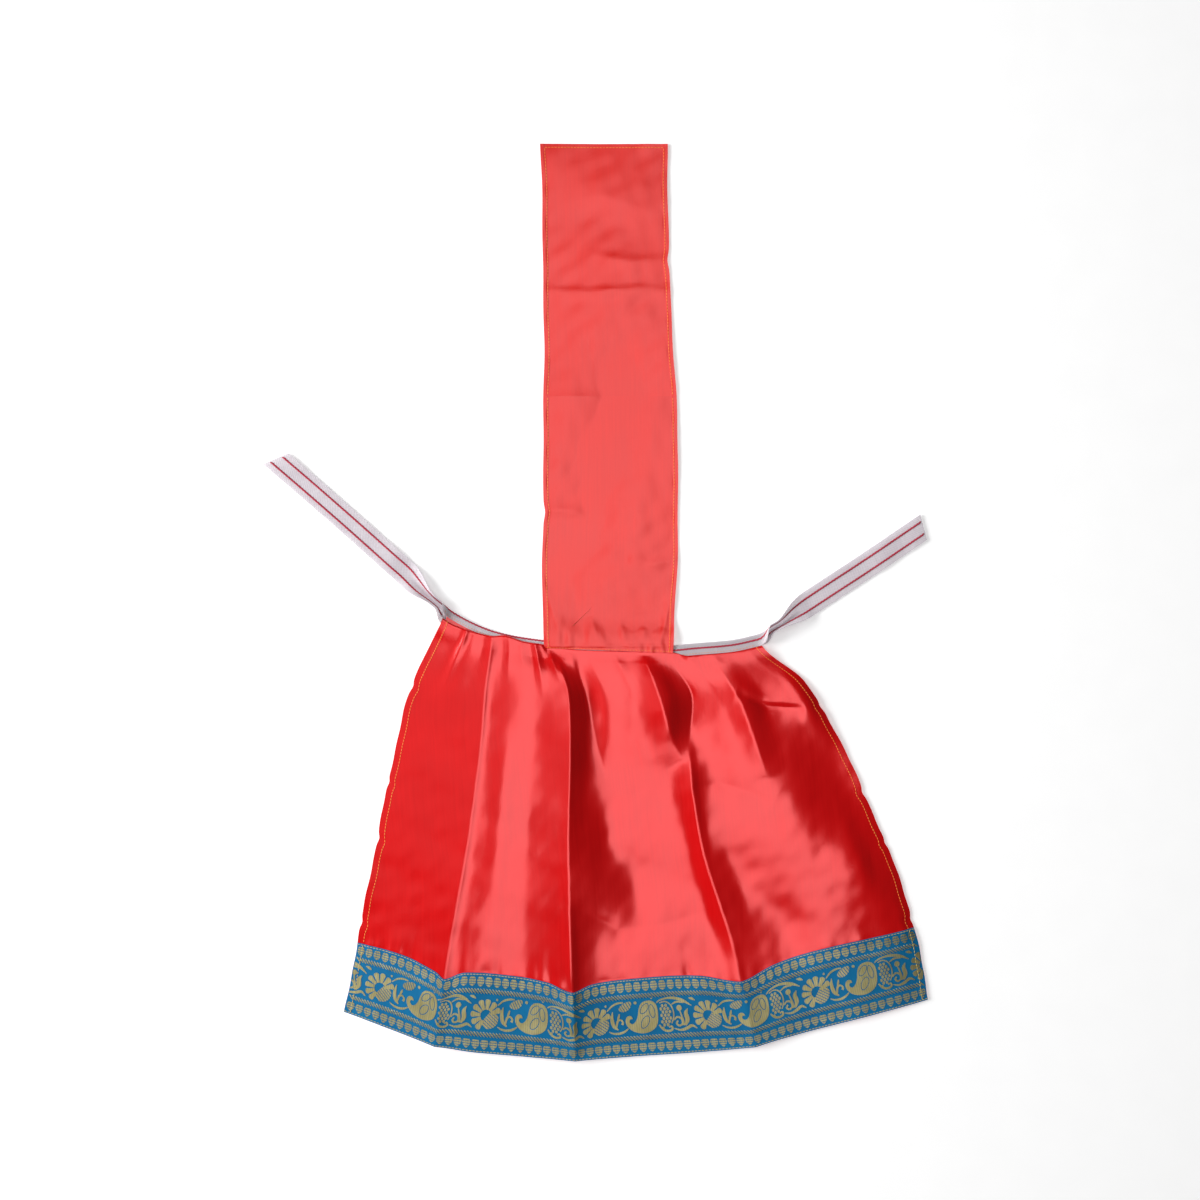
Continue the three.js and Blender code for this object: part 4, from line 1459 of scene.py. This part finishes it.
def decorate_border():
    """Everything woven into and sewn through the border."""
    sewn = []
    for edge, down in (("upper", UPPER_STITCHES), ("lower", LOWER_STITCHES)):
        row = sewn_row(f"border_{edge}_stitches", border, [border_row(down)], STITCH,
                       STITCH_PITCH, YELLOW)
        dress(row, YELLOW, "gold_thread", "skirt", f"border_{edge}_stitching")
        sewn.append(row)
    foot, head = BORDER_MARGIN + BORDER_EDGE, BORDER_MARGIN + BORDER_WIDTH - BORDER_EDGE
    left, right = BORDER_MARGIN + SIDE_HEM, BORDER_MARGIN + BORDER_LENGTH - SIDE_HEM
    sides = [[(left, head), (left, foot)], [(right, head), (right, foot)]]
    hems = sewn_row("border_side_stitches", border, sides, STITCH, STITCH_PITCH, YELLOW, 0.3)
    give(hems, YELLOW)
    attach(hems, "skirt")
    figures = border_pattern("border_figures", border, border_flat[0, ::2, 0] * MM)
    rope_rows = [border_row(UPPER_ROPE, 4), border_row(LOWER_ROPE, 4)]
    ropes = sewn_row("border_ropes", border, rope_rows, ROPE, ROPE_PITCH, RIBBON_GOLD, 0.05,
                     ROPE_TURN)
    ovals = sewn_row("border_ovals", border, [border_row(OVALS, 5)], OVAL_SEED, SEED_PITCH,
                     RIBBON_GOLD, 0)
    acorns = sewn_row("border_acorns", border, [border_row(ACORNS, 5)], ACORN_SEED, SEED_PITCH,
                      RIBBON_GOLD, 0)
    woven = [figures, ropes, ovals, acorns]
    for piece in woven:
        give(piece, RIBBON_GOLD)
        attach(piece, "skirt")
    return woven + sewn + [hems]


border_pieces = decorate_border()
thicken(skirt, SATIN)
thicken(border, RIBBON)
dress(skirt, SATIN_RED, "satin", "skirt", "skirt_panel")
dress(border, RIBBON_BLUE, "brocade", "skirt", "hem_border")


def make_tape():
    """The one tape, as three pieces that share their end sections: left tie, binding, right tie."""
    points, flat, stations, (waist_start, waist_end) = tape_surface()
    left_cut = int(np.searchsorted(stations, waist_start + 6))
    right_cut = int(np.searchsorted(stations, waist_end - 6))
    spans = {
        "left_tie_tape": slice(0, left_cut + 1),
        "waist_binding": slice(left_cut, right_cut + 1),
        "right_tie_tape": slice(right_cut, len(stations)),
    }
    pieces = {}
    outside = COTTON / 2 + 0.1
    whole = make_sheet("whole_tape", points, flat)
    for name, span in spans.items():
        cloth = make_sheet(name, points[:, span], flat[:, span])
        low = YARN_PITCH if span.start == 0 else 1.0
        high = YARN_PITCH if name.startswith("right") else 1.0
        run = (stations[span][0] + TAPE_MARGIN + low, stations[span][-1] + TAPE_MARGIN - high)
        paths = [[(s, HALF_TAPE + TAPE_MARGIN - w) for s in run] for w in (-YARN_AT, YARN_AT)]
        sides = [outside] if name == "waist_binding" else [outside, -outside]
        yarns = [sewn_row(f"{name}_yarns_{k}", whole, paths, YARN, YARN_PITCH, RED_YARN, lift,
                          math.copysign(YARN_TURN, lift)) for k, lift in enumerate(sides)]
        pieces[name] = cloth, yarns
    bpy.data.objects.remove(whole)
    return pieces, stations[[left_cut, right_cut]]


tapes, waist_run = make_tape()


def sew_waist():
    """The seam that holds the tape over the gathers, on the front leaf, either side of the sash,
    and the gathering stitches under the sash."""
    binding = tapes["waist_binding"][0]
    v = TAPE_MARGIN + WAIST_SEAM
    start, end = waist_run + TAPE_MARGIN
    middle = (start + end) / 2 + COVERED_SHIFT
    covered = middle - HALF_COVERED, middle + HALF_COVERED
    sewn = []
    rows = {
        "waist_left_stitching": (start + 2, covered[0]),
        "gathering_thread": (covered[0] + 3, covered[1] - 3),
        "waist_right_stitching": (covered[1], end - 2),
    }
    for node, (a, b) in rows.items():
        name = node.replace("stitching", "stitches")
        row = sewn_row(name + "_row", binding, [[(a, v), (b, v)]], SMALL_STITCH, SMALL_PITCH,
                       ORANGE, COTTON / 2)
        dress(row, ORANGE, "orange_thread", "skirt", node)
        sewn.append(row)
    return sewn


waist_rows = sew_waist()


def finish_tapes():
    """Gives the tapes their thickness and their materials, and hides the CAD nodes that they stand
    for.
    """
    for name, (cloth, yarns) in tapes.items():
        thicken(cloth, COTTON, 0)
        if name == "waist_binding":
            dress(cloth, COTTON_WHITE, "cotton_tape", "skirt", "waist_tape")
            for yarn in yarns:
                dress(yarn, RED_YARN, "cotton_tape", "skirt")
            continue
        side = name.split("_")[0]
        pivot_at = LEFT_PIVOT if side == "left" else RIGHT_PIVOT
        end = LEFT_TIE_LINE[0] if side == "left" else RIGHT_TIE_LINE[-1]
        away = (np.array(end) - pivot_at) / np.hypot(*(np.array(end) - pivot_at))
        bodies = ("skirt", side + "_tie")
        start, stop = pivot_at - away * 4, pivot_at + away * 14
        bend(cloth, COTTON_WHITE, "cotton_tape", bodies, start, stop, side + "_tie")
        for yarn in yarns:
            bend(yarn, RED_YARN, "cotton_tape", bodies, start, stop)


finish_tapes()


def make_sash():
    """The sash in two pieces, each of which lies across one fold."""
    made = {}
    spans = {
        "sash_cloth": (("skirt", "sash_lower"), (0, -3.0), (0, 7.0), -7.0, SASH_SPLIT, 60.0,
                       ["sash_lower", "sash_seam_lap"]),
        "sash_end_cloth": (("sash_lower", "sash_upper"), (0, SASH_CREASE - 6),
                           (0, SASH_CREASE + 6), SASH_SPLIT, SASH_END, None, ["sash_upper"]),
    }
    for name, (bodies, start, end, low, high, fine, nodes) in spans.items():
        points = sash_surface(sash_rows(low, high, fine))
        flat = flat_lengths(points)
        cloth = make_sheet(name, points, flat)
        half = "lower" if low < 0 else "upper"
        rows = slice(1, -1) if low < 0 else slice(2, -1)
        extra = []
        for side, column, inset in (("left", 0, SASH_HEM), ("right", -1, -SASH_HEM + 0.6)):
            node = f"sash_{half}_{side}_stitching"
            path = flat[rows, column] + (inset, 0)
            row = sewn_row(node.replace("stitching", "stitches"), cloth, [path], STITCH,
                           SASH_PITCH, ORANGE)
            bend(row, ORANGE, "orange_thread", bodies, start, end, node)
            extra.append(row)
        if low < 0:
            path = flat[-3, [3, 25, 49, 73, -4]]
            row = sewn_row("sash_seam_stitches", cloth, [path], SMALL_STITCH, SMALL_PITCH, ORANGE,
                           0.0)
            dress(row, ORANGE, "orange_thread", "skirt", "sash_seam_stitching")
        else:
            path = flat[1, [6, 25, 49, 73, -7]] - (0, 0.6)
            row = sewn_row("sash_end_stitches", cloth, [path], STITCH, SASH_PITCH, ORANGE)
            dress(row, ORANGE, "orange_thread", "sash_upper", "sash_end_stitching")
        extra.append(row)
        made[name] = cloth, bodies, start, end, nodes, extra
    for cloth, bodies, start, end, nodes, extra in made.values():
        thicken(cloth, SATIN)
        bend(cloth, SASH_SATIN, "satin", bodies, start, end, *nodes)
    return made


sashes = make_sash()


# Flat lengths of the tape's pieces, in metres.
TAPE_LENGTHS = {"left_tie_tape": 0.22, "waist_binding": 0.33, "right_tie_tape": 0.2}


def declare_sheets():
    """Goes through the tape's pieces and their flat lengths; nothing is done with them."""
    for name, length in TAPE_LENGTHS.items():
        cloth, yarns = tapes[name]


declare_sheets()
for unit in (STITCH, SMALL_STITCH, YARN, ROPE, OVAL_SEED, ACORN_SEED):
    bpy.data.objects.remove(unit)


# ---- Stage ----------------------------------------------------------------------------------

TABLE_HALF = 16.0
TABLE_DEPTH = 0.0004  # how far the table lies below the frame's zero
CAMERA_HEIGHT = 1.5
CAMERA_LENS, CAMERA_SENSOR = 45, 36


def area_light(name, place, target, size, watts):
    data = bpy.data.lights.new(name, "AREA")
    data.shape = "RECTANGLE"
    data.size, data.size_y = size
    data.energy = watts
    light = new_object(name, data)
    light.location = place
    aim = Vector(target) - Vector(place)
    light.rotation_euler = aim.to_track_quat("-Z", "Y").to_euler()


def make_stage():
    """The pale table, a dim world and three lamps."""
    mesh = bpy.data.meshes.new("table_top")
    corners = [(x * TABLE_HALF, y * TABLE_HALF, -TABLE_DEPTH)
               for x, y in ((-1, -1), (1, -1), (1, 1), (-1, 1))]
    mesh.from_pydata(corners, [], [(0, 1, 2, 3)])
    mesh.materials.append(floor_material())
    new_object("table_top", mesh)
    world = bpy.data.worlds.new("studio")
    world.use_nodes = True
    background = world.node_tree.nodes["Background"]
    background.inputs["Color"].default_value = (1, 1, 1, 1)
    background.inputs["Strength"].default_value = 0.04
    bpy.context.scene.world = world
    area_light("side_window", (-3.0, 0.35, 1.5), (0, 0, 0), (2.0, 1.6), 146)
    area_light("overhead_panel", (0.07, 0.0, 2.3), (0.07, 0, 0), (1.1, 2.5), 19)
    area_light("left_fill", (-1.3, 0.1, 2.3), (-0.2, 0, 0), (1.5, 2.1), 3.2)


def make_camera():
    """Straight above the middle of the drape, with its length up the view."""
    low, high = (Vector(corner) for corner in cad_bounds)
    data = bpy.data.cameras.new("camera")
    data.sensor_width = CAMERA_SENSOR
    data.lens = CAMERA_LENS
    camera = new_object("camera", data)
    middle = (low + high) / 2
    camera.location = (middle.x, middle.y, CAMERA_HEIGHT)
    bpy.context.scene.camera = camera


make_stage()
make_camera()
bpy.context.scene.view_settings.view_transform = "Standard"
